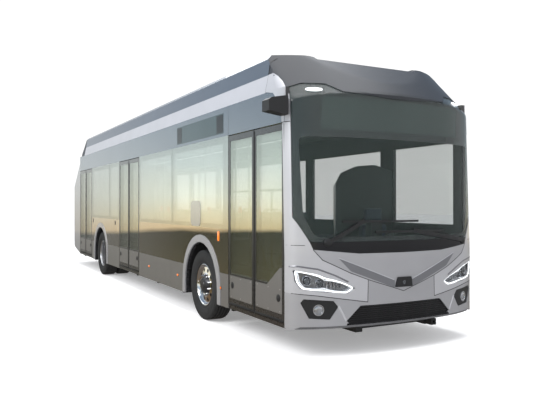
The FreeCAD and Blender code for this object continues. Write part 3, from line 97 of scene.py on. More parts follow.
def colour_ramp(tree, source, stops):
    """A colour ramp with stops of (position, colour)."""
    made = tree.nodes.new("ShaderNodeValToRGB")
    elements = made.color_ramp.elements
    for element, (position, colour) in zip(elements[:], (stops[0], stops[-1])):
        element.position, element.color = position, (*colour, 1)
    for position, colour in stops[1:-1]:
        elements.new(position).color = (*colour, 1)
    fill(made, {"Fac": source})
    return made.outputs["Color"]


BROAD_SIZE, BROAD_DETAIL, FINE_DETAIL = 3.0, 4.0, 3.0
LOW_SHARE, HIGH_SHARE, ROUGH_SHARE = 0.3, 0.7, 0.15
COAT_ROUGHNESS, GRAIN_DEPTH = 0.03, 0.002


def finish(name, colour, rough, metal=0.0, coat=0.0, alpha=1.0, ior=1.45, grain=0.0, grain_size=40.0,
           vary=0.06, glow=None, glow_power=0.0, stretch=(1.0, 1.0, 1.0), sheen=0.0):
    """A surface whose colour and roughness vary a little, with a fine grain in its bump."""
    made = bpy.data.materials.new(name)
    made.use_nodes = True
    tree = made.node_tree
    place = node(tree, "Mapping", {"Vector": node(tree, "TexCoord", {}, "Object"), "Scale": stretch})
    broad = node(tree, "TexNoise", {"Vector": place, "Scale": BROAD_SIZE, "Detail": BROAD_DETAIL})
    fine = node(tree, "TexNoise", {"Vector": place, "Scale": grain_size, "Detail": FINE_DETAIL})
    low = [c * (1 - vary) for c in colour]
    high = [min(1.0, c * (1 + vary)) for c in colour]
    spread = {"Value": fine, "To Min": rough * (1 - ROUGH_SHARE),
              "To Max": min(1.0, rough * (1 + ROUGH_SHARE))}
    inputs = {
        "Base Color": colour_ramp(tree, broad, [(LOW_SHARE, low), (HIGH_SHARE, high)]),
        "Roughness": node(tree, "MapRange", spread), "Metallic": metal, "IOR": ior, "Alpha": alpha,
        "Coat Weight": coat, "Coat Roughness": COAT_ROUGHNESS, "Sheen Weight": sheen,
    }
    if glow:
        inputs.update({"Emission Color": (*glow, 1), "Emission Strength": glow_power})
    if grain:
        inputs["Normal"] = node(tree, "Bump", {"Strength": grain, "Distance": GRAIN_DEPTH, "Height": fine})
    fill(tree.nodes["Principled BSDF"], inputs)
    return made


# Each finish: colour, roughness, metallic, and what else it needs
PAINT = {"coat": 0.6, "grain_size": 900, "grain": 0.02, "vary": 0.03}
CALM = {"vary": 0.02}
LOOKS = {
    "silver_paint": ((0.17, 0.165, 0.16), 0.38, 0.5, PAINT),
    "nose_paint": ((0.36, 0.36, 0.375), 0.36, 0.5, PAINT),
    # The corners' paint is the nose paint made lighter: painted light, as if the corners and stripe ends were
    # lit more strongly than the front.
    "lit_corner_paint": ((0.45, 0.45, 0.47), 0.36, 0.45, PAINT),
    "nose_dark": ((0.17, 0.172, 0.185), 0.36, 0.5, PAINT),
    "light_silver": ((0.46, 0.46, 0.485), 0.34, 0.4, PAINT),
    "slate_paint": ((0.085, 0.105, 0.135), 0.34, 0.5, PAINT),
    "visor_paint": ((0.02, 0.022, 0.027), 0.42, 0.0, {"grain_size": 900}),
    "cantrail_paint": ((0.17, 0.195, 0.225), 0.26, 0.75, PAINT),
    "mirror_panel": ((0.52, 0.49, 0.44), 0.012, 0.95, CALM),
    "frame_black": ((0.018, 0.018, 0.019), 0.28, 0.0, {"coat": 0.6, "grain_size": 60}),
    "chassis_black": ((0.012, 0.012, 0.012), 0.65, 0.0, {"grain": 0.25, "grain_size": 120, "vary": 0.2}),
    "side_glazing": ((0.74, 0.77, 0.73), 0.01, 0.95, {"alpha": 0.6, **CALM}),
    "far_glazing": ((0.6, 0.66, 0.62), 0.01, 0.95, {"alpha": 0.22, **CALM}),
    "far_tint": ((0.16, 0.44, 0.26), 0.02, 0.0, {"alpha": 0.28, **CALM}),
    "screen_glass": ((0.052, 0.072, 0.066), 0.012, 0.0, {"alpha": 0.17, **CALM}),
    "door_glass": ((0.68, 0.71, 0.64), 0.01, 0.95, {"alpha": 0.55, **CALM}),
    "tyre_rubber": ((0.016, 0.016, 0.016), 0.72, 0.0, {"grain": 0.35, "grain_size": 260, "vary": 0.25}),
    "wheel_alloy": ((0.72, 0.72, 0.74), 0.16, 1.0, {"grain": 0.04, "grain_size": 300}),
    "rear_alloy": ((0.52, 0.52, 0.53), 0.3, 0.95, {"grain": 0.08, "grain_size": 200}),
    "black_plastic": ((0.012, 0.012, 0.013), 0.42, 0.0, {"grain": 0.2, "grain_size": 420}),
    "gloss_black": ((0.005, 0.005, 0.006), 0.12, 0.0, {}),
    "lamp_clear": ((0.36, 0.37, 0.39), 0.12, 0.7, {"coat": 1.0, "vary": 0.15}),
    "lamp_lens": ((0.05, 0.055, 0.06), 0.05, 0.2, {"coat": 1.0, "ior": 1.6}),
    "lamp_red": ((0.3, 0.01, 0.008), 0.08, 0.0, {"coat": 1.0, "glow": (1.0, 0.03, 0.02), "glow_power": 0.15}),
    "lamp_amber": ((0.75, 0.16, 0.01), 0.12, 0.0,
                   {"coat": 1.0, "glow": (1.0, 0.25, 0.02), "glow_power": 0.3}),
    "floor_grey": ((0.12, 0.12, 0.125), 0.55, 0.0, {"grain": 0.3, "grain_size": 500, "vary": 0.2}),
    "cabin_grey": ((0.085, 0.09, 0.088), 0.5, 0.0, {"grain": 0.1, "grain_size": 300}),
    "cab_dark": ((0.03, 0.034, 0.034), 0.5, 0.0, {"grain": 0.1, "grain_size": 300}),
    "seat_shell": ((0.045, 0.06, 0.085), 0.45, 0.0, {"grain": 0.3, "grain_size": 500, "vary": 0.15}),
    "seat_fabric": ((0.03, 0.042, 0.07), 0.85, 0.0,
                    {"grain": 0.8, "grain_size": 900, "vary": 0.3, "sheen": 0.4}),
    "rail_steel": ((0.55, 0.55, 0.56), 0.25, 1.0, {"grain": 0.05, "grain_size": 200, "stretch": (1, 1, 0.1)}),
    "cast_dark": ((0.035, 0.035, 0.035), 0.6, 0.3, {"grain": 0.6, "grain_size": 90, "vary": 0.2}),
    "hub_dark": ((0.05, 0.05, 0.052), 0.35, 0.6, {"grain": 0.2, "grain_size": 120}),
    "chrome": ((0.8, 0.81, 0.83), 0.08, 1.0, {}),
    "white_light": ((0.9, 0.93, 0.95), 0.2, 0.0, {"glow": (0.95, 0.98, 1.0), "glow_power": 1.2}),
    "seal_rubber": ((0.009, 0.009, 0.009), 0.6, 0.0, {"grain": 0.2, "grain_size": 600}),
    "zinc_bolt": ((0.45, 0.45, 0.44), 0.32, 1.0, {"grain": 0.1, "grain_size": 400}),
    "cover_clear": ((0.1, 0.11, 0.12), 0.02, 0.0, {"alpha": 0.08, **CALM}),
    "frit_black": ((0.026, 0.028, 0.03), 0.2, 0.0, {"coat": 0.3, "grain_size": 300}),
    "display_tint": ((0.04, 0.055, 0.052), 0.12, 0.0, {"coat": 0.3, "grain_size": 300}),
    "tab_grey": ((0.42, 0.42, 0.4), 0.2, 0.7, {"vary": 0.03}),
    "sign_dark": ((0.045, 0.065, 0.07), 0.1, 0.2, {"vary": 0.08, "grain_size": 200}),
    "cabin_light": ((0.8, 0.82, 0.82), 0.4, 0.0, {"glow": (0.95, 1.0, 0.97), "glow_power": 0.25}),
    "plate_white": ((0.7, 0.7, 0.68), 0.35, 0.0, {"grain": 0.05, "grain_size": 300}),
}
FINISHES = {name: finish(name, *look[:3], **look[3]) for name, look in LOOKS.items()}

# The finish of each CAD node, and the slot of each finish that has one
NODE_LOOKS = {
    "frame_black": "wall_right wall_left", "side_glazing": "side_glass rear_window",
    "mirror_panel": "side_panels", "silver_paint": "skirts", "lit_corner_paint": "front_corners",
    "nose_paint": "arch_trims front_panel front_bumper rear_panels rear_lid rear_bumper",
    "slate_paint": "roof_edges roof_pods", "visor_paint": "roof_caps", "screen_glass": "windscreen",
    "black_plastic": "lower_grille front_lamps dashboard steering_wheel camera_pods wipers",
    "lamp_red": "tail_lamps", "cabin_grey": "roof rear_bulkhead", "floor_grey": "floor",
    "chassis_black": "wheel_housings underframe traction_battery", "seat_fabric": "driver_seat",
    "cab_dark": "cab_partition destination_sign", "seat_shell": "passenger_seats",
    "rail_steel": "handrails", "cast_dark": "front_axle rear_axle knuckle_left knuckle_right",
    "tyre_rubber": "tyre_front_left tyre_front_right tyres_rear_left tyres_rear_right",
    "wheel_alloy": "rim_front_left rim_front_right", "rear_alloy": "rims_rear_left rims_rear_right",
}
SLOT_LOOKS = {
    "black_plastic": "black_plastic gloss_black seal_rubber", "clear_glass": "screen_glass display_tint",
    "lamp_clear": "lamp_clear lamp_lens chrome white_light cover_clear cabin_light",
    "lamp_red": "lamp_red lamp_amber", "dark_paint": "frit_black sign_dark", "silver_paint": "tab_grey",
    "tyre_rubber": "tyre_rubber", "wheel_alloy": "wheel_alloy rear_alloy", "cast_dark": "cast_dark hub_dark",
    "rail_steel": "rail_steel zinc_bolt", "seat_fabric": "seat_fabric", "cabin_grey": "cabin_grey",
    "light_silver": "plate_white", "slate_paint": "slate_paint",
}
SLOTS = {look: slot for slot, looks in SLOT_LOOKS.items() for look in looks.split()}


def paint_nodes():
    """Gives each CAD node its finish."""
    looks = {label: look for look, labels in NODE_LOOKS.items() for label in labels.split()}
    for leaf in LEAVES:
        looks.update({f"door_{leaf}": "frame_black", f"door_glass_{leaf}": "door_glass"})
    for label, part in NODES.items():
        part.data.materials.clear()
        part.data.materials.append(FINISHES[looks[label]])


def repaint(label, rule):
    """Gives faces of a CAD node another finish where a rule on their centre and normal names one."""
    mesh = NODES[label].data
    names = []
    for face in mesh.polygons:
        name = rule(face.center, face.normal)
        if name and name not in names:
            names.append(name)
            mesh.materials.append(FINISHES[name])
        if name:
            face.material_index = 1 + names.index(name)


INNER_WALL, LEAF_FOOT, PROUD, INWARD = 1.225, 0.93, 0.0005, 0.5

paint_nodes()
for side, sign in SIDES.items():
    repaint(f"wall_{side}",
            lambda c, n, s=sign: "cabin_grey" if n.x * s < -INWARD or abs(c.x) < INNER_WALL else None)
repaint("side_glass", lambda c, n: ("far_tint" if n.x < -INWARD else "far_glazing") if c.x > 0 else None)
repaint("side_panels", lambda c, n: "cantrail_paint" if c.z > GLASS_HIGH else None)
repaint("roof_edges", lambda c, n: "light_silver" if c.z < BAND_HIGH - PROUD else None)
repaint("roof", lambda c, n: "slate_paint" if n.z > INWARD else None)
for leaf in LEAVES:
    repaint(f"door_{leaf}", lambda c, n: "silver_paint" if c.x < -HALF - PROUD and c.z < LEAF_FOOT else None)


# Pieces made from mesh data

def from_bmesh(name, shape, look, body="body", smooth=35, slot=None):
    """A piece on a body: faces turned outwards, smooth up to an angle in degrees. The slot is looked up but
    not used.
    """
    bmesh.ops.recalc_face_normals(shape, faces=shape.faces)
    mesh = bpy.data.meshes.new(name)
    shape.to_mesh(mesh)
    shape.free()
    made = bpy.data.objects.new(name, mesh)
    bpy.context.scene.collection.objects.link(made)
    mesh.materials.append(FINISHES[look])
    mesh.polygons.foreach_set("use_smooth", [True] * len(mesh.polygons))
    mesh.set_sharp_from_angle(angle=math.radians(smooth))
    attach(made, body)
    if slot is None:
        slot = SLOTS.get(look)
    return made


BEVEL_SHARE = 0.45


class Mould:
    """Collects several bodies of one finish, so that they make one piece."""

    def __init__(self):
        self.verts = []
        self.faces = []

    def add(self, verts, faces):
        start = len(self.verts)
        self.verts += [Vector(v) for v in verts]
        self.faces += [[start + i for i in face] for face in faces]
        return self

    def block(self, low, high, bevel=0.004):
        """A box with its edges cut off at an angle."""
        low, high = Vector(map(min, low, high)), Vector(map(max, low, high))
        bevel = min(bevel, *((high - low) * BEVEL_SHARE))
        shape = bmesh.new()
        place = Matrix.LocRotScale((low + high) / 2, None, high - low)
        bmesh.ops.create_cube(shape, size=1.0, matrix=place)
        bmesh.ops.bevel(shape, geom=shape.edges[:], offset=bevel, segments=2, affect="EDGES", profile=0.5)
        shape.verts.index_update()
        self.add([v.co for v in shape.verts], [[v.index for v in f.verts] for f in shape.faces])
        shape.free()
        return self

    def span(self, xs, ys, zs, bevel=0.004):
        """A block between two values along each axis."""
        return self.block(*zip(xs, ys, zs), bevel)

    def turned(self, profile, centre=(0, 0, 0), axis="X", sides=32, closed=False):
        """A profile of (along, radius) turned round an axis through a centre."""
        rings = []
        verts = []
        for along, radius in profile:
            rings.append([])
            for i in range(sides if radius else 1):
                a, b = radius * math.cos(TURN * i / sides), radius * math.sin(TURN * i / sides)
                local = {"X": (along, a, b), "Y": (b, along, a), "Z": (a, b, along)}[axis]
                rings[-1].append(len(verts))
                verts.append(Vector(centre) + Vector(local))
        faces = []
        for one, two in zip(rings, rings[1:] + rings[:closed]):
            for i in range(sides):
                pairs = [(one, i), (one, (i + 1) % sides), (two, (i + 1) % sides), (two, i)]
                faces.append(list(dict.fromkeys(ring[k % len(ring)] for ring, k in pairs)))
        return self.add(verts, [face for face in faces if len(face) > 2])

    def loft(self, rings, closed=False, caps=True):
        """Faces between rings of points, with an end cap at each end unless the row of rings is closed."""
        count, total = len(rings[0]), len(rings[0]) * len(rings)
        faces = []
        for one in range(0, total if closed else total - count, count):
            two = (one + count) % total
            faces += [[one + i, one + (i + 1) % count, two + (i + 1) % count, two + i] for i in range(count)]
        if caps and not closed:
            faces += [list(range(count)), list(range(total - count, total))]
        return self.add([v for ring in rings for v in ring], faces)

    def tube(self, path, radius, sides=10):
        """A round bar along a path of points, with closed ends."""
        path = [Vector(p) for p in path]
        turns = [TURN * k / sides for k in range(sides)]
        rings = []
        side = None
        for i, point in enumerate(path):
            ahead = (path[min(i + 1, len(path) - 1)] - path[max(i - 1, 0)]).normalized()
            side = ahead.orthogonal() if side is None else side
            side = (side - ahead * side.dot(ahead)).normalized()
            other = ahead.cross(side)
            rings.append([point + (side * math.cos(a) + other * math.sin(a)) * radius for a in turns])
        return self.loft(rings)

    def done(self, name, look, body="body", smooth=35, slot=None):
        shape = bmesh.new()
        verts = [shape.verts.new(v) for v in self.verts]
        for face in self.faces:
            shape.faces.new([verts[i] for i in face])
        return from_bmesh(name, shape, look, body, smooth, slot)


def rounded(outline, radius, steps=3):
    """The same outline with each corner rounded."""
    made = []
    for i, corner in enumerate(outline):
        corner = Vector(corner)
        back = Vector(outline[i - 1]) - corner
        ahead = Vector(outline[(i + 1) % len(outline)]) - corner
        reach = min(radius, back.length * BEVEL_SHARE, ahead.length * BEVEL_SHARE)
        start, end = corner + back.normalized() * reach, corner + ahead.normalized() * reach
        for t in (k / steps for k in range(steps + 1)):
            made.append(tuple(start * (1 - t) ** 2 + corner * 2 * t * (1 - t) + end * t ** 2))
    return made


def mirrored(outline):
    """The outline closed by its mirror image, with the points on the middle line kept once."""
    return list(outline) + [(-u, v) for u, v in reversed(outline) if abs(u) > TINY]


def on_side(points, sign):
    """The same flat points, put on one side of the bus."""
    return [(sign * abs(u), v) for u, v in points]


def circle(centre, wide, high, count, phase=0.0):
    """Points on a flat ellipse."""
    angles = [TURN * (i + phase) / count for i in range(count)]
    return [(centre[0] + wide * math.cos(a), centre[1] + high * math.sin(a)) for a in angles]


# The nose's curved surface, the same as the part's: a bow, two flanks and two corners in plan

NOSE, LIP = -6.056, 0.006
BOW_HALF, BOW_RADIUS = 0.7, 4.9
FLANK_HALF, FLANK_RADIUS, FLANK_SIN, FLANK_IN = 1.18, 1.62, 0.142857, 0.0503
CORNER_RADIUS, CORNER_SIN, CORNER_IN = 0.16939, 0.439153, 0.1983
SCREEN_FOOT, SCREEN_LEAN = 1.05, math.radians(1.998)
VISOR_FOOT, VISOR_RAKE, VISOR_START = 2.77, math.radians(47.0), -5.996
SCOOP_HIGH, SCOOP_Y, SCOOP_SLOPE = 3.2, -5.43, 1.4186
# Each arc of the plan: where it starts, its radius, its angle's sine there and how far it has fallen back
ARCS = [(0.0, BOW_RADIUS, 0.0, 0.0), (BOW_HALF, FLANK_RADIUS, FLANK_SIN, FLANK_IN),
        (FLANK_HALF, CORNER_RADIUS, CORNER_SIN, CORNER_IN)]


def plan(x):
    """How far the nose's plan falls back at x, and the sine of its angle there."""
    x = min(abs(x), HALF)
    start, radius, low, fallen = [arc for arc in ARCS if x > arc[0] or not arc[0]][-1]
    sine = min(1.0, low + (x - start) / radius)
    return fallen + radius * (math.sqrt(1 - low ** 2) - math.sqrt(1 - sine ** 2)), sine


def nose(x, z, out=0.0):
    """The point of the nose's surface seen at x and z from the front, moved outwards along its normal."""
    back, sine = plan(x)
    cosine = math.sqrt(1 - sine ** 2)
    back += LIP
    y, lean = max([
        (NOSE + back, 0.0),
        (NOSE + (z - SCREEN_FOOT) * math.tan(SCREEN_LEAN) + back / math.cos(SCREEN_LEAN), SCREEN_LEAN),
        (VISOR_START + (z - VISOR_FOOT) * math.tan(VISOR_RAKE) + back / math.cos(VISOR_RAKE), VISOR_RAKE),
    ])
    normal = Vector((math.copysign(sine, x) / math.cos(lean), -cosine, cosine * math.tan(lean)))
    scoop = SCOOP_Y + (z - SCOOP_HIGH) * SCOOP_SLOPE
    if scoop > y:
        y = scoop
        normal = Vector((0, -1, SCOOP_SLOPE))
    return Vector((x, y, z)) + normal.normalized() * out


BOW_STEPS, FLANK_STEPS, CORNER_STEPS = 9, 10, 8


def spread_lines():
    """Upright grid lines over the nose, closer together where it turns."""
    lines = [BOW_HALF * i / BOW_STEPS for i in range(BOW_STEPS + 1)]
    lines += [BOW_HALF + (FLANK_HALF - BOW_HALF) * i / FLANK_STEPS for i in range(1, FLANK_STEPS + 1)]
    start = math.asin(CORNER_SIN)
    for i in range(1, CORNER_STEPS + 1):
        angle = start + (math.pi / 2 - start) * i / CORNER_STEPS
        lines.append(FLANK_HALF + (math.sin(angle) - CORNER_SIN) * CORNER_RADIUS)
    return sorted({round(sign * v, 6) for v in lines for sign in (1, -1)})


def inside(point, outline):
    """True if a flat point is inside an outline."""
    x, y = point
    hit = False
    for (ax, ay), (bx, by) in zip(outline, outline[1:] + outline[:1]):
        if (ay > y) != (by > y) and x < (bx - ax) * (y - ay) / (by - ay) + ax:
            hit = not hit
    return hit


LINE_GAP, NEAR, CUT_GAP, WELD = 1e-4, 0.18, 1e-5, 2e-5


def flat_sheet(outline, holes=(), across=(), along=()):
    """A flat mesh of an outline with holes, cut along grid lines so that it can be bent."""
    lines = []
    for axis, inner in enumerate((across, along)):
        low, high = min(p[axis] for p in outline), max(p[axis] for p in outline)
        lines.append([low] + [v for v in inner if low + LINE_GAP < v < high - LINE_GAP] + [high])
    us, vs = lines
    shape = bmesh.new()
    grid = [[shape.verts.new((u, v, 0)) for v in vs] for u in us]
    for one, two in zip(grid, grid[1:]):
        for k in range(len(vs) - 1):
            shape.faces.new([one[k], two[k], two[k + 1], one[k + 1]])
    for loop in (outline, *holes):
        for (au, av), (bu, bv) in zip(loop, loop[1:] + loop[:1]):
            edge = Vector((bu - au, bv - av, 0))
            middle = Vector((au + bu, av + bv, 0)) / 2
            reach = edge.length / 2 + NEAR
            near = [f for f in shape.faces
                    if (f.calc_center_median() - middle).length < reach + math.sqrt(f.calc_area())]
            geom = near + list({e for f in near for e in f.edges}) + list({v for f in near for v in f.verts})
            bmesh.ops.bisect_plane(shape, geom=geom, dist=CUT_GAP, plane_co=(au, av, 0),
                                   plane_no=(edge.y, -edge.x, 0))
    gone = []
    for face in shape.faces:
        flat = face.calc_center_median()[:2]
        if not inside(flat, outline) or any(inside(flat, hole) for hole in holes):
            gone.append(face)
    bmesh.ops.delete(shape, geom=gone, context="FACES")
    bmesh.ops.remove_doubles(shape, verts=shape.verts, dist=WELD)
    return shape


def bent_sheet(name, shape, place, out, thick, look, smooth=30, slot=None):
    """A flat mesh bent onto a surface and given thickness: place(u, v, out) is a point over the surface."""
    shape.verts.index_update()
    flat = [v.co[:2] for v in shape.verts]
    count = len(flat)
    faces = [[v.index for v in face.verts] for face in shape.faces]
    faces += [[i + count for i in reversed(face)] for face in faces]
    for edge in shape.edges:
        if len(edge.link_faces) == 1:
            a, b = (v.index for v in edge.verts)
            faces.append([a, b, b + count, a + count])
    shape.free()
    verts = [place(*spot, deep) for deep in (out, out - thick) for spot in flat]
    return Mould().add(verts, faces).done(name, look, "body", smooth, slot)


NOSE_ACROSS = spread_lines()
NOSE_ALONG = [0.3 + 0.15 * i for i in range(16)] + [2.64 + 0.02 * i for i in range(31)]
SKIN_OUT, SKIN_THICK = 0.002, 0.01
TRIM_STEP, TRIM_DEEP = 0.03, 0.006
SEAM_OUT, SEAM_RISE = 0.0022, 0.002


def nose_patch(name, outline, look, out=SKIN_OUT, thick=SKIN_THICK, holes=(), smooth=30, slot=None):
    """A panel on the nose with an outline in x and z."""
    shape = flat_sheet(outline, holes, NOSE_ACROSS, NOSE_ALONG)
    return bent_sheet(name, shape, nose, out, thick, look, smooth, slot)


def sampled(path, step=TRIM_STEP, closed=False):
    """Points along a flat path, no further apart than a step."""
    ends = list(path) + list(path[:closed])
    made = []
    for a, b in zip(ends, ends[1:]):
        a, b = Vector(a), Vector(b)
        count = max(1, math.ceil((b - a).length / step))
        made += [a.lerp(b, k / count) for k in range(count)]
    return made if closed else made + [Vector(ends[-1])]


def ribbon(name, path, width, look, place=nose, out=SKIN_OUT, rise=0.003, closed=False, slot=None):
    """A strip of trim along a path on a surface, higher in its middle than at its edges."""
    points = sampled(path, closed=closed)
    last = len(points) - 1
    rings = []
    for i, point in enumerate(points):
        before = points[i - 1] if closed or i else point
        after = points[(i + 1) % len(points)] if closed or i < last else point
        ahead = (after - before).normalized()
        off = Vector((-ahead.y, ahead.x)) * width / 2
        one, two = point + off, point - off
        row = [(one, -TRIM_DEEP), (one, 0.0), (point, rise), (two, 0.0), (two, -TRIM_DEEP)]
        rings.append([place(*spot, out + up) for spot, up in row])
    return Mould().loft(rings, closed).done(name, look, "body", 40, slot)


def seam(name, path, width, place=nose, out=SEAM_OUT, rise=SEAM_RISE):
    """A thin dark line along a panel's edge."""
    ribbon(name, path, width, "seal_rubber", place, out, rise, slot="")


def disc(name, place, u, v, out, profile, look, aim=1.0, slot=None):
    """A turned part standing on a surface: a profile of (height, radius)."""
    normal = place(u * aim, v, 1.0) - place(u * aim, v)
    turn = normal.to_track_quat("Z", "Y").to_matrix()
    mould = Mould().turned(profile, axis="Z")
    mould.verts = [turn @ p + place(u, v, out) for p in mould.verts]
    mould.done(name, look, slot=slot)


# The nose's outlines in shares of the half width and of the cantrail's height, as in the part

def front_view(shares):
    return [(u * HALF, v * CANTRAIL_HIGH) for u, v in shares]


SCREEN_LOW_SHARES = [(-0.853, 0.427), (-0.971, 0.518)]
VISOR_SHARES = [
    (-0.971, 1.0), (-0.836, 1.0214), (-0.651, 1.0196), (-0.547, 0.9864), (-0.143, 0.973), (0, 0.973),
]
STRIP_SHARES = [(-0.853, 0.427), (-0.828, 0.4), (-0.444, 0.3825), (0, 0.381)]
SEAM_SHARES = [(-0.828, 0.4), (-0.757, 0.362), (-0.526, 0.3125), (-0.358, 0.284), (0, 0.233)]
FOLD_SHARES = [(-0.362, 0.201), (-0.791, 0.232), (-1.0, 0.2425)]
LAMP_SHARES = [
    (-0.973, 0.326), (-0.961, 0.284), (-0.925, 0.2586), (-0.791, 0.2468),
    (-0.541, 0.2375), (-0.479, 0.2554), (-0.571, 0.2754), (-0.791, 0.31),
]
GRILLE_SHARES = [(0, 0.126), (-0.533, 0.126), (-0.557, 0.136), (-0.431, 0.189), (0, 0.189)]
FOG_SHARES = [
    (-0.925, 0.2075), (-0.901, 0.221), (-0.668, 0.212), (-0.626, 0.189), (-0.696, 0.144), (-0.862, 0.15),
]
HEM_SHARES = [(0, 0.1196), (-0.925, 0.1196), (-0.988, 0.107), (-1.0, 0.107)]
BRACKET_SHARES = [(-0.626, 0.192), (-0.56, 0.137)]
LAMP, FOG, VISOR = front_view(LAMP_SHARES), front_view(FOG_SHARES), front_view(VISOR_SHARES)
SCREEN = rounded(mirrored(front_view(SCREEN_LOW_SHARES) + VISOR), 0.05, 2)
GLASS_THICK, STRIP_OUT, STRIP_THICK = 0.006, 0.001, 0.02


def nose_panels():
    """The painted skins of the nose and the curved windscreen."""
    glass = nose_patch("curved_windscreen", SCREEN, "screen_glass", 0.0, GLASS_THICK)
    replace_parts(glass, "windscreen")
    strip = mirrored(front_view(STRIP_SHARES))
    nose_patch("black_strip", strip, "gloss_black", STRIP_OUT, STRIP_THICK, slot="dark_paint")
    hatch_top = mirrored(front_view(STRIP_SHARES[2:]))[::-1]
    nose_patch("front_hatch_skin", mirrored(front_view(SEAM_SHARES)) + hatch_top, "nose_paint")
    corner = [(-1.0, 1.0)] + VISOR_SHARES[:1] + SCREEN_LOW_SHARES[::-1] + SEAM_SHARES[:4] + FOLD_SHARES
    for side, sign in SIDES.items():
        outline, hole = (on_side(points, sign) for points in (front_view(corner), LAMP))
        # Painted light: the corners take a lighter copy of the nose paint, where they face the light.
        nose_patch(f"front_corner_skin_{side}", outline, "lit_corner_paint", holes=[hole])
    bumper = mirrored(front_view(HEM_SHARES + FOLD_SHARES[::-1] + SEAM_SHARES[3:]))
    holes = [mirrored(front_view(GRILLE_SHARES)), FOG, on_side(FOG, 1)]
    nose_patch("front_bumper_skin", bumper, "nose_paint", holes=holes)


# The body's side, the cap over the windscreen and the light stripe's bend

BAND_X, FAIRING_LOW, FAIRING_LOW_X, FAIRING_HIGH, FAIRING_HIGH_X = 1.235, 3.19, 1.211, 3.24, 1.161
SECTION = [
    (CANTRAIL_HIGH, HALF), (BAND_HIGH, BAND_X), (FAIRING_LOW, FAIRING_LOW_X), (FAIRING_HIGH, FAIRING_HIGH_X),
]
SECTION_LEAN = Vector((1.0, 0.0, 0.16)).normalized()
SIDE_INNER, HALVINGS = 0.9, 24
CAP_REAR, CAP_OUT, CAP_THICK, CAP_STEPS = -5.28, 0.003, 0.012, 22
CREST_HALF, CREST_FLARE = 0.7, 0.76
STRIPE_BEND = [
    (-5.27, 3.0), (-5.387, 3.0), (-5.46, 2.955), (-5.545, 2.887), (-5.63, 2.8), (-5.7, 2.731),
    (-5.745, 2.66), (-5.751, 2.6), (-5.757, 2.43), (-5.645, 2.43), (-5.62, 2.58), (-5.574, 2.666),
    (-5.456, 2.773), (-5.299, 2.803), (-5.27, 2.803),
]
STRIPE_FOOT = [(-5.755, 2.435), (-5.645, 2.435)]
STRIPE_OUT, STRIPE_SEAM_OUT, JOINT_OUT = 0.005, 0.006, 0.0045
CAP_SEAM_WIDE, CAP_SEAM_RISE, CAP_EDGE, CAP_SLIVER = 0.008, 0.001, 0.005, 0.001
CAP_SMOOTH, STRIPE_SMOOTH = 24, 60
CAP_JOINT = [(CAP_REAR, CANTRAIL_HIGH), (CAP_REAR, FAIRING_LOW)]
STRIPE_ACROSS, STRIPE_ALONG = [-5.8 + 0.02 * i for i in range(27)], [2.44 + 0.02 * i for i in range(28)]


def section_x(z):
    """Half the body's width at a height, where it leans in above the cantrail."""
    for (low_z, low_x), (high_z, high_x) in zip(SECTION, SECTION[1:]):
        if z <= high_z:
            return low_x + (high_x - low_x) * max(0.0, (z - low_z) / (high_z - low_z))
    return FAIRING_HIGH_X


def flank(sign):
    """The body's side as a surface over y and z, which follows the nose's corner where that starts."""
    def place(y, z, out=0.0):
        wide = section_x(z)
        if y >= nose(wide, z).y:
            normal = SECTION_LEAN if z > CANTRAIL_HIGH + LINE_GAP else Vector((1, 0, 0))
            point = Vector((wide, y, z)) + normal * out
        else:
            low, high = SIDE_INNER, wide
            for _ in range(HALVINGS):
                middle = (low + high) / 2
                low, high = (middle, high) if nose(middle, z).y < y else (low, middle)
            point = nose((low + high) / 2, z, out)
        return Vector((point.x * sign, point.y, point.z))
    return place


FLANKS = {side: flank(sign) for side, sign in SIDES.items()}


def front_cap():
    """The dark visor over the windscreen with its two lobes, and the cap's sides behind it."""
    crest = [(-CREST_FLARE, FAIRING_HIGH), (-CREST_HALF, SCOOP_HIGH)]
    half = VISOR[::-1] + [(-x, z) for z, x in SECTION] + crest
    nose_patch("visor_skin", mirrored(half), "visor_paint", CAP_OUT, CAP_THICK, smooth=CAP_SMOOTH)
    heights = [CANTRAIL_HIGH + (FAIRING_HIGH - CANTRAIL_HIGH) * i / CAP_STEPS for i in range(CAP_STEPS + 1)]
    front = [(nose(section_x(z), z).y, z) for z in heights]
    front = [spot for spot in front if spot[0] < CAP_REAR - CAP_SLIVER]
    outline = [(CAP_REAR, front[-1][1] + CAP_EDGE), (CAP_REAR, CANTRAIL_HIGH)] + front
    for side, place in FLANKS.items():
        shape = flat_sheet(outline, along=[BAND_HIGH, FAIRING_LOW])
        bent_sheet(f"cap_side_{side}", shape, place, CAP_OUT, CAP_THICK, "visor_paint", CAP_SMOOTH)
    for side, place in FLANKS.items():
        shape = flat_sheet(STRIPE_BEND, (), STRIPE_ACROSS, STRIPE_ALONG)
        # Painted light: the stripe's bend takes the lighter copy of the nose paint, as on the lit corners.
        bent_sheet(f"stripe_end_{side}", shape, place, STRIPE_OUT, SKIN_THICK, "lit_corner_paint", STRIPE_SMOOTH)
        seam(f"stripe_seam_{side}", STRIPE_FOOT, CAP_SEAM_WIDE, place, STRIPE_SEAM_OUT, CAP_SEAM_RISE)
        seam(f"cap_joint_{side}", CAP_JOINT, CAP_SEAM_WIDE, place, JOINT_OUT, CAP_SEAM_RISE)


# Lamps and trim on the nose

LAMP_DEEP, AIM_SHARE = 0.055, 0.9
LAMP_ROUND, BOWL_THICK, RIM_STEP, COVER_OUT, COVER_THICK = 0.02, 0.004, 0.04, 0.0015, 0.003
PROJECTORS = [(1.115, 0.8, 0.044), (0.985, 0.772, 0.04)]
# Heights, with radii as shares of the projector's
OPTICS_SHARES = {
    "ring": ([(0, 1.25), (0.022, 1.2), (0.026, 1.05), (0.016, 0.9), (0.01, 0.86)], "lamp_clear"),
    "projector": ([(0.004, 0.88), (0.016, 0.8), (0.026, 0.55), (0.03, 0.25), (0.031, 0.0)], "lamp_lens"),
}
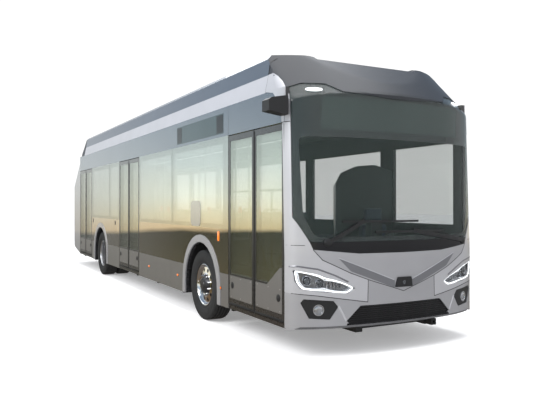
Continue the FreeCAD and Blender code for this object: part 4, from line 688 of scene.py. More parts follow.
# Each frame in the lamp: how far in from the edge, width, finish, height over the nose, rise
LAMP_FRAMES = {
    "running_light": (0.016, 0.015, "white_light", -0.01, 0.005),
    "lamp_trim": (0.04, 0.014, "chrome", -0.022, 0.004),
}
RIBS, RIB_STEP, RIB_FIRST = 5, 0.038, (0.905, 0.716, 0.806)
RIB_RISE, RIB_FALL, RIB_SLANT, RIB_WIDE, RIB_OUT, RIB_HIGH = 0.001, 0.013, 0.01, 0.02, -0.035, 0.008


def headlamps():
    """Each headlamp: a bowl, a bright running-light frame, two projectors, a ribbed reflector and a cover."""
    for side, sign in SIDES.items():
        outline = on_side(rounded(LAMP, LAMP_ROUND, 2), sign)
        bowl = flat_sheet(outline, (), NOSE_ACROSS)
        bent_sheet(f"lamp_bowl_{side}", bowl, nose, -LAMP_DEEP, BOWL_THICK, "lamp_clear")
        rim = sampled(outline, RIM_STEP, True)
        wall = Mould().loft([[nose(*p, out) for p in rim] for out in (STRIP_OUT, -LAMP_DEEP)], caps=False)
        wall.done(f"lamp_wall_{side}", "black_plastic")
        middle = sum(rim, Vector((0, 0))) / len(rim)
        for name, (inset, width, look, out, rise) in LAMP_FRAMES.items():
            frame = [p + (middle - p).normalized() * inset for p in rim]
            ribbon(f"{name}_{side}", frame, width, look, nose, out, rise, True)
        for number, (x, z, radius) in enumerate(PROJECTORS):
            for name, (shares, look) in OPTICS_SHARES.items():
                profile = [(height, share * radius) for height, share in shares]
                disc(f"lamp_{name}_{side}_{number}", nose, sign * x, z, -LAMP_DEEP, profile, look, AIM_SHARE)
        for number in range(RIBS):
            x, low, high = RIB_FIRST
            x -= number * RIB_STEP
            rib = on_side([(x, low + number * RIB_RISE), (x + RIB_SLANT, high - number * RIB_FALL)], sign)
            ribbon(f"lamp_rib_{side}_{number}", rib, RIB_WIDE, "lamp_clear", nose, RIB_OUT, RIB_HIGH)
        cover = nose_patch(f"lamp_cover_{side}", outline, "cover_clear", COVER_OUT, COVER_THICK)
    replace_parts(cover, "front_lamps")


FOG_SPOT, FOG_ROUND = (1.005, 0.504), 0.012
FOG_RING = [(-0.004, 0.06), (0.008, 0.058), (0.008, 0.05), (0.0, 0.048)]
FOG_LENS = [(0.0, 0.048), (0.006, 0.04), (0.009, 0.02), (0.01, 0.0)]
BROW = [(1.262, 0.949), (1.2, 0.952), (1.009, 0.921), (0.84, 0.856), (0.69, 0.783)]
CHEVRON = [(0.8, 1.03), (0.12, 0.772), (0.12, 0.692), (0.66, 0.89)]
CHEVRON_EDGE = [(0.8, 1.032), (0.13, 0.777)]
PILLAR_SEAM = [(1.272, 1.165), (1.135, 1.165)]
CAMERA_BOX = [(-0.084, 0.804), (0.103, 0.802), (0.117, 0.696), (-0.117, 0.698)]
CAMERA_LENS = [(0, 0.022), (0.004, 0.018), (0.004, 0.0)]
SLATS, SLAT_LOW, SLAT_PITCH, SLAT_HIGH, SLAT_DEEP, SLAT_IN = 7, 0.372, 0.0215, 0.007, 0.02, -0.008
SLAT_HALF, SLAT_TAPER, TAPER_LOW, SLAT_STEPS = 0.69, 0.95, 0.381, 24
BROW_WIDE, BROW_RISE, BRACKET_WIDE, BRACKET_RISE = 0.018, 0.004, 0.022, 0.006
CHEVRON_OUT, CHEVRON_THICK, CHEVRON_EDGE_OUT, CHEVRON_EDGE_WIDE = 0.0035, 0.004, 0.003, 0.008
WIDE_SEAM, NARROW_SEAM = 0.007, 0.006
BOX_OUT, BOX_ROUND, BOX_LENS_Z, BOX_LENS_OUT = 0.016, 0.012, 0.745, 0.015
LIP_OUT = 0.0035
GRILLE_LIP = [(-0.71, 0.3355), (0.71, 0.3355), (0.7, 0.356), (-0.7, 0.356)]


def nose_trim():
    """Brows, seams, the folded chevron, camera box, fog lamps and grille slats."""
    for side, sign in SIDES.items():
        fog = rounded(on_side(FOG, sign), FOG_ROUND, 2)
        nose_patch(f"fog_bezel_{side}", fog, "black_plastic", -TRIM_DEEP, STRIP_THICK)
        x, z = sign * FOG_SPOT[0], FOG_SPOT[1]
        disc(f"fog_ring_{side}", nose, x, z, -TRIM_DEEP, FOG_RING, "chrome")
        disc(f"fog_lens_{side}", nose, x, z, -TRIM_DEEP, FOG_LENS, "lamp_clear")
        ribbon(f"lamp_brow_{side}", on_side(BROW, sign), BROW_WIDE, "nose_dark", rise=BROW_RISE)
        nose_patch(f"chevron_{side}", on_side(CHEVRON, sign), "nose_dark", CHEVRON_OUT, CHEVRON_THICK)
        ribbon(f"chevron_edge_{side}", on_side(CHEVRON_EDGE, sign), CHEVRON_EDGE_WIDE, "light_silver",
               out=CHEVRON_EDGE_OUT)
        corner = front_view(SEAM_SHARES[:4] + FOLD_SHARES[:1])
        seam(f"corner_seam_{side}", on_side(corner, sign), WIDE_SEAM)
        seam(f"bumper_seam_{side}", on_side(front_view(FOLD_SHARES), sign), WIDE_SEAM)
        seam(f"pillar_seam_{side}", on_side(PILLAR_SEAM, sign), NARROW_SEAM)
        bracket = on_side(front_view(BRACKET_SHARES), sign)
        ribbon(f"grille_bracket_{side}", bracket, BRACKET_WIDE, "light_silver", rise=BRACKET_RISE)
    seam("hatch_seam", mirrored(front_view(SEAM_SHARES[3:])), NARROW_SEAM)
    nose_patch("camera_box", rounded(CAMERA_BOX, BOX_ROUND), "black_plastic", BOX_OUT, STRIP_THICK)
    disc("camera_lens", nose, 0, BOX_LENS_Z, BOX_LENS_OUT, CAMERA_LENS, "lamp_lens")
    slats = Mould()
    for number in range(SLATS):
        low = SLAT_LOW + number * SLAT_PITCH
        high = low + SLAT_HIGH
        half = SLAT_HALF - max(0.0, low - TAPER_LOW) * SLAT_TAPER
        edges = [(low, 0.0), (high, 0.0), (high, SLAT_DEEP), (low, SLAT_DEEP)]
        spots = [half * (2 * i / SLAT_STEPS - 1) for i in range(SLAT_STEPS + 1)]
        rings = [[nose(x, z, SLAT_IN) + Vector((0, deep, 0)) for z, deep in edges] for x in spots]
        slats.loft(rings, caps=False)
    slats.done("grille_slats", "gloss_black")
    nose_patch("grille_lip", GRILLE_LIP, "gloss_black", LIP_OUT, CAP_THICK)


CLEAR_SCREEN = [(-1.145, 1.47), (-1.03, 1.245), (1.03, 1.245), (1.145, 1.47), (1.175, 2.28), (-1.175, 2.28)]
DISPLAY = [(-0.96, 2.36), (0.92, 2.36), (0.96, 2.7), (-0.93, 2.7)]
CLEAR_ROUND, BORDER_OUT, DISPLAY_OUT, PRINT_THICK = 0.06, -0.009, -0.008, 0.002
MARKER, MARKER_WIDE, MARKER_HIGH, MARKER_STEPS, MARKER_OUT = (0.985, 2.775), 0.08, 0.02, 16, 0.008
WIPER_PIVOTS = [(-0.91, 1.19), (0.997, 1.165)]
PIVOT = [(-0.01, 0.045), (0.014, 0.042), (0.022, 0.03), (0.024, 0.0)]


def screen_details():
    """Printed borders behind the windscreen, marker lamps over it and the wipers' pivots."""
    holes = [rounded(CLEAR_SCREEN, CLEAR_ROUND), DISPLAY]
    nose_patch("screen_border", SCREEN, "frit_black", BORDER_OUT, PRINT_THICK, holes)
    nose_patch("display_window", DISPLAY, "display_tint", DISPLAY_OUT, PRINT_THICK)
    for side, sign in SIDES.items():
        oval = circle((sign * MARKER[0], MARKER[1]), MARKER_WIDE, MARKER_HIGH, MARKER_STEPS)
        nose_patch(f"marker_lamp_{side}", oval, "white_light", MARKER_OUT, MARKER_OUT)
    for number, (x, z) in enumerate(WIPER_PIVOTS):
        disc(f"wiper_pivot_{number}", nose, x, z, 0.0, PIVOT, "black_plastic")


nose_panels()
front_cap()
headlamps()
nose_trim()
screen_details()


# Wheels: profiles of (outward, radius) from the tyre's middle or from the disc

AXLE_Z, AXLE_Y = 0.4785, {"front": -3.36, "rear": 2.7}
TYRES_X, DISC_X = {"front": (1.1075,), "rear": (1.1075, 0.7965)}, {"front": 1.186, "rear": 0.962}
TYRE_HALF = [
    (-0.1, 0.283), (-0.113, 0.29), (-0.121, 0.303), (-0.1185, 0.309), (-0.129, 0.33), (-0.1365, 0.368),
    (-0.137, 0.392), (-0.1345, 0.418), (-0.131, 0.434), (-0.132, 0.44), (-0.127, 0.46), (-0.118, 0.4715),
    (-0.104, 0.4765), (-0.072, 0.478), (-0.072, 0.4782), (-0.07, 0.466), (-0.062, 0.466), (-0.06, 0.4783),
    (-0.029, 0.4782), (-0.027, 0.466), (-0.019, 0.466), (-0.017, 0.4783),
]
TYRE_SIDES, NOTCH_STEP, NOTCH_IN, NOTCH_OUTER, NOTCH_RADIUS = 120, 4, 0.071, 0.4705, 0.4675
HOLES, HOLE_RING, HOLE_RADIUS, HOLE_DEEP, HOLE_STEPS = 10, 0.205, 0.026, 0.016, 6
DISC_IN, DISC_OUT, DISC_DISH = 0.17, 0.242, 0.01
BARREL_START = [(0.0, DISC_OUT), (0.004, 0.25), (0.012, 0.256)]
BARREL_DEEP = {"front": [], "rear": [(1.06, 0.26), (1.16, 0.266)]}
BARREL_END = [
    (1.2055, 0.266), (1.2155, 0.271), (1.2175, 0.278), (1.2155, 0.2845), (1.2075, 0.286), (1.1995, 0.283),
    (1.08, 0.272), (1.0, 0.284), (0.995, 0.286),
]
INNER_RIM = {"front": [], "rear": [(0.905, 0.284), (0.9, 0.272), (0.8, 0.262), (0.7, 0.272), (0.69, 0.286)]}
DISC_SEAT = [(0.01, DISC_IN), (0.012, 0.16), (0.01, 0.155), (0.01, 0.12)]
BRAKE = [(-0.02, 0.0), (-0.02, 0.232), (-0.1, 0.238), (-0.14, 0.236), (-0.14, 0.0)]
HUB = {
    "front": [(0.008, 0.12), (0.022, 0.116), (0.034, 0.104), (0.05, 0.098), (0.056, 0.088), (0.058, 0.06),
              (0.066, 0.054), (0.069, 0.0)],
    "rear": [(0.008, 0.12), (0.03, 0.116), (0.062, 0.112), (0.07, 0.1), (0.12, 0.094), (0.134, 0.08),
             (0.138, 0.0)],
}
RIM_SIDES, SEAT_SIDES, HUB_SIDES, BRAKE_SIDES, TYRE_SMOOTH, WHEEL_SMOOTH = 72, 60, 48, 40, 28, 30
NUT_RING, NUT_OUT, HUB_BOLT_RING, HUB_BOLTS = 0.14, 0.01, 0.074, 8
# A washer, a nut and a stud, each with its number of sides
NUT = [([(0.0, 0.0), (0.0, 0.0155), (0.004, 0.0155)], 12),
       ([(0.003, 0.013), (0.022, 0.0125), (0.025, 0.009), (0.025, 0.0)], 6),
       ([(0.024, 0.007), (0.034, 0.0065), (0.035, 0.0)], 8)]
HUB_BOLT = [(-0.01, 0.007), (-0.002, 0.006), (-0.001, 0.0)]
VALVE, VALVE_RADIUS = [(0.012, 0.243, 0.02), (0.03, 0.24, 0.02)], 0.004


def spun(mould, sign, y, profile, sides, x=0.0, closed=False, spot=(0.0, 0.0)):
    """Turns a profile round an axle, or round a line beside it, on one side of the bus."""
    profile = [(sign * (x + a), r) for a, r in profile]
    return mould.turned(profile, (0, y + spot[0], AXLE_Z + spot[1]), "X", sides, closed)


def tyre(mould, sign, x, y):
    """A truck tyre: bulged sides with a rim protector, notched shoulders and four grooves round the tread."""
    start = len(mould.verts)
    spun(mould, sign, y, TYRE_HALF + [(-a, r) for a, r in reversed(TYRE_HALF)], TYRE_SIDES, x, True)
    for number, point in enumerate(mould.verts[start:]):
        off = Vector((0, point.y - y, point.z - AXLE_Z))
        notched = number % TYRE_SIDES % NOTCH_STEP == 0
        if notched and off.length > NOTCH_OUTER and abs(abs(point.x) - x) > NOTCH_IN:
            point -= off * (1 - NOTCH_RADIUS / off.length)


def disc_with_holes(mould, sign, x, y):
    """A wheel disc's ring with round hand holes and the holes' own walls."""
    def at(radius, angle, deep=0.0):
        rise = DISC_DISH * (DISC_OUT - radius) / (DISC_OUT - DISC_IN)
        u, v = radius * math.cos(angle), radius * math.sin(angle)
        return Vector((sign * (x + rise - deep), y + u, AXLE_Z + v))

    half = math.pi / HOLES
    for number in range(HOLES):
        middle = 2 * half * number
        corners = [(DISC_IN, -half), (DISC_IN, half), (DISC_OUT, half), (DISC_OUT, -half)]
        edge = []
        for (r0, a0), (r1, a1) in zip(corners, corners[1:] + corners[:1]):
            steps = [i / HOLE_STEPS for i in range(HOLE_STEPS)]
            edge += [(r0 + (r1 - r0) * t, middle + a0 + (a1 - a0) * t) for t in steps]
        centre = Vector((math.cos(middle), math.sin(middle))) * HOLE_RING
        ring = []
        for radius, angle in edge:
            way = Vector((math.cos(angle), math.sin(angle))) * radius - centre
            spot = centre + way.normalized() * HOLE_RADIUS
            ring.append((spot.length, math.atan2(spot.y, spot.x)))
        rings = [[at(*p) for p in edge], [at(*p) for p in ring], [at(*p, HOLE_DEEP) for p in ring]]
        mould.loft(rings, caps=False)


def wheel(side, end):
    """The tyres, rim, nuts, hub, brake and valve of one end of an axle."""
    sign, y, x = SIDES[side], AXLE_Y[end], DISC_X[end]
    body, many, look = (f"wheel_front_{side}", "", "wheel_alloy") if end == "front" else (
        f"wheels_rear_{side}", "s", "rear_alloy")
    tyres, rim, nuts = Mould(), Mould(), Mould()
    for tyre_x in TYRES_X[end]:
        tyre(tyres, sign, tyre_x, y)
    rubber = tyres.done(f"rubber_{end}_{side}", "tyre_rubber", body, TYRE_SMOOTH)
    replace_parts(rubber, f"tyre{many}_{end}_{side}")
    disc_with_holes(rim, sign, x, y)
    barrel = [(x + a, r) for a, r in BARREL_START] + BARREL_DEEP[end] + BARREL_END
    spun(rim, sign, y, barrel, RIM_SIDES)
    spun(rim, sign, y, DISC_SEAT, SEAT_SIDES, x)
    spun(rim, sign, y, INNER_RIM[end], SEAT_SIDES)
    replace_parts(rim.done(f"alloy_{end}_{side}", look, body, WHEEL_SMOOTH), f"rim{many}_{end}_{side}")
    for spot in circle((0, 0), NUT_RING, NUT_RING, HOLES, 0.5):
        for profile, sides in NUT:
            spun(nuts, sign, y, profile, sides, x + NUT_OUT, spot=spot)
    bright = "chrome" if end == "front" else "zinc_bolt"
    nuts.done(f"nuts_{end}_{side}", bright, body, WHEEL_SMOOTH, "wheel_alloy")
    cap = spun(Mould(), sign, y, HUB[end], HUB_SIDES, x)
    for spot in circle((0, 0), HUB_BOLT_RING, HUB_BOLT_RING, HUB_BOLTS):
        spun(cap, sign, y, HUB_BOLT, 6, x + HUB[end][-1][0], spot=spot)
    cap.done(f"hub_{end}_{side}", "hub_dark", body, WHEEL_SMOOTH)
    brake = spun(Mould(), sign, y, BRAKE, BRAKE_SIDES, x)
    brake.done(f"brake_{end}_{side}", "cast_dark", body, WHEEL_SMOOTH)
    valve = Mould().tube([(sign * (x + a), y + b, AXLE_Z + c) for a, b, c in VALVE], VALVE_RADIUS, 8)
    valve.done(f"valve_{end}_{side}", "zinc_bolt", body, WHEEL_SMOOTH, "wheel_alloy")


# Doors and sides

DOOR_Y = {"a": -5.7, "b": -0.3798, "c": 3.61}
LEAF_LONG, LEAF_STARTS = 0.687, {"front": 0.012, "rear": 0.711}
LEAF_OUT, SEAL_DEEP, SEAL_HIGH, SEAL_LOW = 0.003, 0.03, (0.365, 2.413), (0.357, 0.385)
SEAL_LAP, SEAL_WIDE, SWEEP_OUT = 0.004, 0.02, 0.002
BUTTON_IN, BUTTON_Z, BUTTONS = 0.115, 0.6, [(0.04, 0.006), (0.024, 0.01)]
SCREW_SHARES, SCREW_Z, SCREW = (0.12, 0.5, 0.88), (0.462, 0.693), (0.006, 0.002)
MARKERS = {"left": (-4.04, -2.44, -0.99, 1.9, 4.55), "right": (-4.04, -2.44, -0.99)}
# Inner and outer faces from the side, half length, foot, top and bevel
MARKER_BASE = (-0.004, 0.003, 0.04, 0.502, 0.542, 0.003)
MARKER_LENS = (0.0, 0.007, 0.033, 0.507, 0.537, 0.004)
FLASHER_Y, FLASHER = -3.98, (-0.004, 0.007, 0.025, 1.115, 1.235, 0.006)
CALL_Y, CALL_Z, CALL, CALL_TALL = (3.46, 1.37), 1.2, (0.02, 0.006), 2.4
TAB = [(-3.36, 1.28), (-2.99, 1.28), (-2.99, 1.63), (-3.36, 1.63)]
SIGN = [(-4.141, 2.475), (-2.409, 2.475), (-2.409, 2.73), (-4.141, 2.73)]
TAB_ROUND, TAB_OUT = 0.09, 0.003
SIGN_OUT, SIGN_THICK, SIGN_END_OUT, SIGN_END_THICK = 0.001, 0.004, 0.002, 0.003
SIGN_ENDS, SIGN_LOW, SIGN_TOP = [(-4.125, -3.92), (-2.62, -2.425)], 2.49, 2.715


def side_disc(mould, y, z, radius, height, x=-HALF, sides=24, tall=1.0):
    """A round button standing on the door side, stretched upwards by a factor."""
    start = len(mould.verts)
    profile = [(x, radius), (x - height * 0.7, radius), (x - height, radius * 0.85), (x - height, 0.0)]
    mould.turned(profile, (0, y, z), "X", sides)
    for point in mould.verts[start:]:
        point.z = z + (point.z - z) * tall


def door_parts():
    """Each leaf: its edge rubbers, emergency button and screws."""
    proud, inner = -HALF - LEAF_OUT, SEAL_DEEP - HALF
    for name in LEAVES:
        door, end = name.split("_")
        start = DOOR_Y[door] + LEAF_STARTS[end]
        stop = start + LEAF_LONG
        meet, y = (stop, start + BUTTON_IN) if end == "front" else (start, stop - BUTTON_IN)
        seals, button, screws = Mould(), Mould(), Mould()
        seals.span((-HALF - SEAL_LAP, inner), (meet - SEAL_WIDE, meet + SEAL_LAP), SEAL_HIGH)
        seals.span((-HALF - SWEEP_OUT, inner), (start + SEAL_LAP, stop - SEAL_LAP), SEAL_LOW)
        for size in BUTTONS:
            side_disc(button, y, BUTTON_Z, *size, proud)
        for share in SCREW_SHARES:
            for z in SCREW_Z:
                side_disc(screws, start + LEAF_LONG * share, z, *SCREW, proud, 8)
        seals.done(f"leaf_rubber_{name}", "seal_rubber", f"leaf_{name}")
        button.done(f"leaf_button_{name}", "black_plastic", f"leaf_{name}")
        screws.done(f"leaf_screws_{name}", "zinc_bolt", f"leaf_{name}")


def side_block(mould, sign, y, inner, outer, half, low, high, bevel):
    """A block on the bus's side."""
    mould.block((sign * (HALF + inner), y - half, low), (sign * (HALF + outer), y + half, high), bevel)


def side_marks():
    """Orange side markers, the side flashers, the door call buttons, the blank tab and the side sign."""
    for side, sign in SIDES.items():
        lamps, bases, flasher = Mould(), Mould(), Mould()
        for y in MARKERS[side]:
            side_block(bases, sign, y, *MARKER_BASE)
            side_block(lamps, sign, y, *MARKER_LENS)
        side_block(flasher, sign, FLASHER_Y, *FLASHER)
        bases.done(f"marker_bases_{side}", "black_plastic")
        lamps.done(f"side_markers_{side}", "lamp_amber")
        flasher.done(f"side_flasher_{side}", "lamp_amber")
    buttons = Mould()
    for y in CALL_Y:
        side_disc(buttons, y, CALL_Z, *CALL, tall=CALL_TALL)
    buttons.done("door_call_buttons", "black_plastic")
    place = FLANKS["right"]
    bent_sheet("blank_tab", flat_sheet(rounded(TAB, TAB_ROUND, 4)), place, TAB_OUT, SIGN_THICK, "tab_grey")
    bent_sheet("side_sign_glass", flat_sheet(SIGN), place, SIGN_OUT, SIGN_THICK, "sign_dark")
    for number, (low, high) in enumerate(SIGN_ENDS):
        end = [(low, SIGN_LOW), (high, SIGN_LOW), (high, SIGN_TOP), (low, SIGN_TOP)]
        bent_sheet(f"side_sign_end_{number}", flat_sheet(end), place, SIGN_END_OUT, SIGN_END_THICK,
                   "gloss_black", slot="dark_paint")


for side in SIDES:
    for end in AXLE_Y:
        wheel(side, end)
door_parts()
side_marks()


# The driver's place

CUTS, CROWN, EDGE_PULL, EDGE, FILL = 13, 0.22, 0.05, 0.98, 0.85
CORNER_PULL, CHANNEL_DEEP, CHANNEL_WIDE = 0.06, 0.16, 0.045


def cushion(name, box, channels, axis):
    """A padded form in a box: its face crowned, its sides pulled in between corners, with sewn channels."""
    shape = bmesh.new()
    bmesh.ops.create_cube(shape, size=2.0)
    bmesh.ops.subdivide_edges(shape, edges=shape.edges[:], cuts=CUTS, use_grid_fill=True)
    low, high = Vector(box[0]), Vector(box[1])
    first, second = (i for i in range(3) if i != axis)
    for v in shape.verts:
        a, b = v.co[first], v.co[second]
        sink = sum(CHANNEL_DEEP * math.exp(-((b - c) / CHANNEL_WIDE) ** 2) for c in channels) * (1 - a ** 6)
        crown = 1 - CROWN + CROWN * (1 - a ** 4) * (1 - b ** 4)
        pull = 1 - EDGE_PULL * ((1 - a ** 2) * (abs(b) > EDGE) + (1 - b ** 2) * (abs(a) > EDGE))
        pull *= 1 - CORNER_PULL * (a ** 8 + b ** 8)
        v.co[axis] *= crown - (sink if v.co[axis] > 0 else 0)
        v.co[first], v.co[second] = a * pull, b * pull
        v.co = Vector((low[i] + (v.co[i] + 1) / 2 * (high[i] - low[i]) for i in range(3)))
    made = from_bmesh(name, shape, "seat_fabric", smooth=80)
    rounder = made.modifiers.new("softer", "SUBSURF")
    rounder.levels = rounder.render_levels = 1
    return made


SEAT_LOW, SEAT_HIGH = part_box("driver_seat")
SEAT_X, SEAT_BACK, SEAT_TOP = (SEAT_LOW[0] + SEAT_HIGH[0]) / 2, SEAT_HIGH[1], SEAT_HIGH[2]
SEAT_Y = (SEAT_LOW[1] + SEAT_HIGH[1]) / 2 - 0.02
# Inset at the sides, front and back edge, foot and top; an edge below zero is counted from the seat's back
CUSHIONS = {
    "driver_cushion": ((0.01, 0.01, -0.06, 0.775, 0.905), (-0.45, 0.0, 0.45), 2),
    "driver_backrest": ((0.02, -0.115, -0.015, 0.87, 1.34), (-0.3, 0.3), 1),
    "driver_headrest": ((0.1, -0.105, -0.02, 1.36, SEAT_TOP - 0.005), (), 1),
}
SEAT_SHELL = [((0.015, 0.02, -0.05, 0.705, 0.775), 0.02), ((0.05, -0.022, -0.002, 0.8, 1.3), 0.01)]
SEAT_FOOT, HEAD_POSTS, ARM_RESTS = (0.17, 0.345, 0.4, 0.012), (0.17, 0.05, 1.3, 1.4), (0.36, 0.1, 1.04, 1.075)
BELLOWS, BELLOWS_LOW, BELLOWS_PITCH = 9, 0.4, 0.034
STEERING, STEERING_TURN = Vector((0.62, -5.4, 1.08)), Matrix.Rotation(math.radians(-28), 3, "X")
RING_RADIUS, RING_THICK = 0.2085, 0.0155
SPOKES, SPOKE, SPOKE_THICK = (-160, -20, 90), [(0.05, -0.028), (0.13, -0.02), (0.205, -0.002)], 0.011
WHEEL_HUB = [(-0.045, 0.0), (-0.045, 0.055), (-0.02, 0.068), (-0.006, 0.058), (0.0, 0.0)]
# Bars of the column: both ends in the wheel's own directions, radius and sides
COLUMN = [
    ((0, 0, -0.02), (0, 0, -0.3), 0.03, 20), ((0, 0, -0.16), (0, 0, -0.34), 0.052, 20),
    ((0.03, 0, -0.09), (0.17, 0.01, -0.075), 0.007, 8), ((-0.03, 0, -0.09), (-0.17, 0.01, -0.075), 0.007, 8),
]
HOOD = [(-5.66, 1.06), (-5.5, 1.06), (-5.47, 1.1), (-5.5, 1.185), (-5.56, 1.205), (-5.66, 1.13)]
HOOD_X = (0.9, 0.34)
DIAL = [(0.0, 0.05), (0.006, 0.05), (0.006, 0.044), (0.002, 0.042), (0.002, 0.0)]
DIAL_SPOTS = [Vector((x, -5.484, 1.142)) for x in (0.52, 0.72)]
DIAL_FACE = Vector((0, 0.85, 0.53)).to_track_quat("Z", "Y").to_matrix()
HOOD_BLOCKS = [((-0.28, -5.72, 1.04), (0.28, -5.44, 1.075), 0.015),
               ((0.96, -5.6, 1.04), (1.12, -5.43, 1.16), 0.02)]
SCREEN_BLOCKS = [((0.2, -5.5, 1.13), (0.335, -5.485, 1.24), 0.006),
                 ((0.255, -5.505, 1.06), (0.28, -5.49, 1.14), 0.003)]
KEYS = [((0.93 + 0.028 * i, -5.425, 1.05 + 0.03 * k), (0.95 + 0.028 * i, -5.418, 1.072 + 0.03 * k), 0.003)
        for k in range(2) for i in range(7)]
MACHINE_BLOCKS = [((-0.02, -5.52, 1.05), (0.14, -5.4, 1.4), 0.015),
                  ((0.0, -5.405, 1.2), (0.12, -5.392, 1.36), 0.006)]
MACHINE_FOOT = [(0.06, -5.46, 1.0), (0.06, -5.46, 1.06)]


def seat_span(inset, front, back, low, high):
    """A box in the seat's place."""
    front, back = ((SEAT_LOW if y >= 0 else SEAT_HIGH)[1] + y for y in (front, back))
    return (SEAT_LOW[0] + inset, front, low), (SEAT_HIGH[0] - inset, back, high)


def blocks(rows, mould=None):
    """Blocks from rows of corner, corner and bevel."""
    mould = mould or Mould()
    for row in rows:
        mould.block(*row)
    return mould


def driver_place():
    """The driver's sprung seat, its bellows and arm rests, the steering wheel and the instruments."""
    made = [cushion(name, seat_span(*row[0]), *row[1:]) for name, row in CUSHIONS.items()]
    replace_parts(made[0], "driver_seat")
    folds = [(BELLOWS_LOW + (fold + half / 2) * BELLOWS_PITCH, (0.15, 0.125)[half])
             for fold in range(BELLOWS) for half in (0, 1)]
    bellows = Mould().turned([(0.39, 0.0)] + folds + [(0.71, 0.0)], (SEAT_X, SEAT_Y, 0), "Z", 36)
    bellows.done("driver_seat_bellows", "seal_rubber", smooth=50)
    shell = blocks([(*seat_span(*span), bevel) for span, bevel in SEAT_SHELL])
    half, low, high, bevel = SEAT_FOOT
    shell.block((SEAT_X - half, SEAT_Y - half, low), (SEAT_X + half, SEAT_Y + half, high), bevel)
    inset, back, low, high = HEAD_POSTS
    for x in (SEAT_LOW[0] + inset, SEAT_HIGH[0] - inset):
        shell.tube([(x, SEAT_BACK - back, low), (x, SEAT_BACK - back, high)], 0.006, 8)
    front, back, low, high = ARM_RESTS
    for x in (SEAT_LOW[0] + 0.012, SEAT_HIGH[0] - 0.042):
        shell.block((x, SEAT_BACK - front, low), (x + 0.03, SEAT_BACK - back, high), 0.012)
    shell.done("driver_seat_shell", "black_plastic")

    ring = Mould().turned([(v, u) for u, v in circle((RING_RADIUS, 0), RING_THICK, RING_THICK, 12)], axis="Z",
                          sides=64, closed=True)
    for angle in map(math.radians, SPOKES):
        ring.tube([(r * math.cos(angle), r * math.sin(angle), z) for r, z in SPOKE], SPOKE_THICK)
    ring.turned(WHEEL_HUB, axis="Z")
    ring.verts = [STEERING_TURN @ v + STEERING for v in ring.verts]
    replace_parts(ring.done("steering_ring", "black_plastic", smooth=50), "steering_wheel")
    column = Mould()
    for one, two, radius, sides in COLUMN:
        column.tube([STEERING_TURN @ Vector(p) + STEERING for p in (one, two)], radius, sides)
    column.done("steering_column", "black_plastic")

    panel = Mould().loft([[(x, y, z) for y, z in HOOD] for x in HOOD_X])
    blocks(HOOD_BLOCKS, panel).done("instrument_hood", "black_plastic")
    dials, dial = Mould(), Mould().turned(DIAL, axis="Z", sides=28)
    for spot in DIAL_SPOTS:
        dials.add([DIAL_FACE @ v + spot for v in dial.verts], dial.faces)
    dials.done("instrument_dials", "lamp_lens")
    blocks(SCREEN_BLOCKS).done("driver_screen", "gloss_black")
    blocks(KEYS).done("dash_switches", "cabin_grey", slot="black_plastic")
    blocks(MACHINE_BLOCKS).tube(MACHINE_FOOT, 0.02, 12).done("ticket_machine", "black_plastic")


# Cabin

LIGHTS, LIGHT_X, LIGHT_START, LIGHT_PITCH = 7, (-0.52, 0.52), -4.9, 1.36
LEFT_SEATS, RIGHT_SEATS = (-2.576, -1.664, -0.751, 0.161, 1.074, 3.39, 4.2), (-2.576,)
SEAT_LONG, SEAT_INNER, HANDLE_THICK = 0.46, (0.42, 0.84), 0.011
# Half width or long side, foot, top and bevel
LIGHT_HALF, LIGHT_LONG, LIGHT_Z, LIGHT_BEVEL = 0.045, 1.24, (2.632, 2.648), 0.006
DUCT_HALF, DUCT_Y, DUCT_Z, DUCT_BEVEL = 0.075, (-5.05, 4.62), (2.638, 2.65), 0.003
LEG_X, LEG_Y, LEG_Z, LEG_BEVEL = (0.07, 0.13), (0.14, 0.3), (0.35, 0.66), 0.008
POST_OFF, POST_Y, POST_LOW, POST_DOWN, POST_THICK = 0.01, -4.385, 0.36, 0.28, 0.016
BAR_END, BAR_Y, BAR_Z, BAR_THICK = 1.16, -4.44, 0.95, 0.014
SOFT = 50
HANDLE = [(0.0, 0.0, 1.36), (0.0, 0.012, 1.47), (0.03, 0.012, 1.49), (0.2, 0.012, 1.49), (0.23, 0.012, 1.47),
          (0.23, 0.0, 1.36)]
BELLS = [((sign * 0.275, y - 0.035, 1.42), (sign * 0.325, y + 0.035, 1.54), 0.012)
         for sign in (1, -1) for y in (-3.2, -1.3, 0.9, 3.2)]


def cabin_parts():
    """Ceiling lights and duct covers, seat handles and legs, bell buttons and the partition's rail."""
    lights, covers, handles, legs = Mould(), Mould(), Mould(), Mould()
    for x in LIGHT_X:
        for number in range(LIGHTS):
            y = LIGHT_START + number * LIGHT_PITCH
            lights.span((x - LIGHT_HALF, x + LIGHT_HALF), (y, y + LIGHT_LONG), LIGHT_Z, LIGHT_BEVEL)
        covers.span((x - DUCT_HALF, x + DUCT_HALF), DUCT_Y, DUCT_Z, DUCT_BEVEL)
    for sign, start in [(1, y) for y in LEFT_SEATS] + [(-1, y) for y in RIGHT_SEATS]:
        for x in SEAT_INNER:
            handles.tube([(sign * (x + a), start + SEAT_LONG + b, z) for a, b, z in HANDLE], HANDLE_THICK, 8)
            legs.span([sign * (x + a) for a in LEG_X], [start + b for b in LEG_Y], LEG_Z, LEG_BEVEL)
    lights.done("ceiling_lights", "cabin_light")
    covers.done("ceiling_ducts", "cabin_grey")
    handles.done("seat_handles", "seal_rubber", smooth=SOFT)
    legs.done("seat_legs", "cast_dark", slot="rail_steel")
    blocks(BELLS).done("bell_buttons", "lamp_red")
    low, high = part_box("cab_partition")
    rail = Mould().tube([(low[0] - POST_OFF, POST_Y, z) for z in (POST_LOW, high[2] - POST_DOWN)], POST_THICK)
    rail.tube([(x, BAR_Y, BAR_Z) for x in (low[0], BAR_END)], BAR_THICK)
    rail.done("partition_rail", "rail_steel", smooth=SOFT)


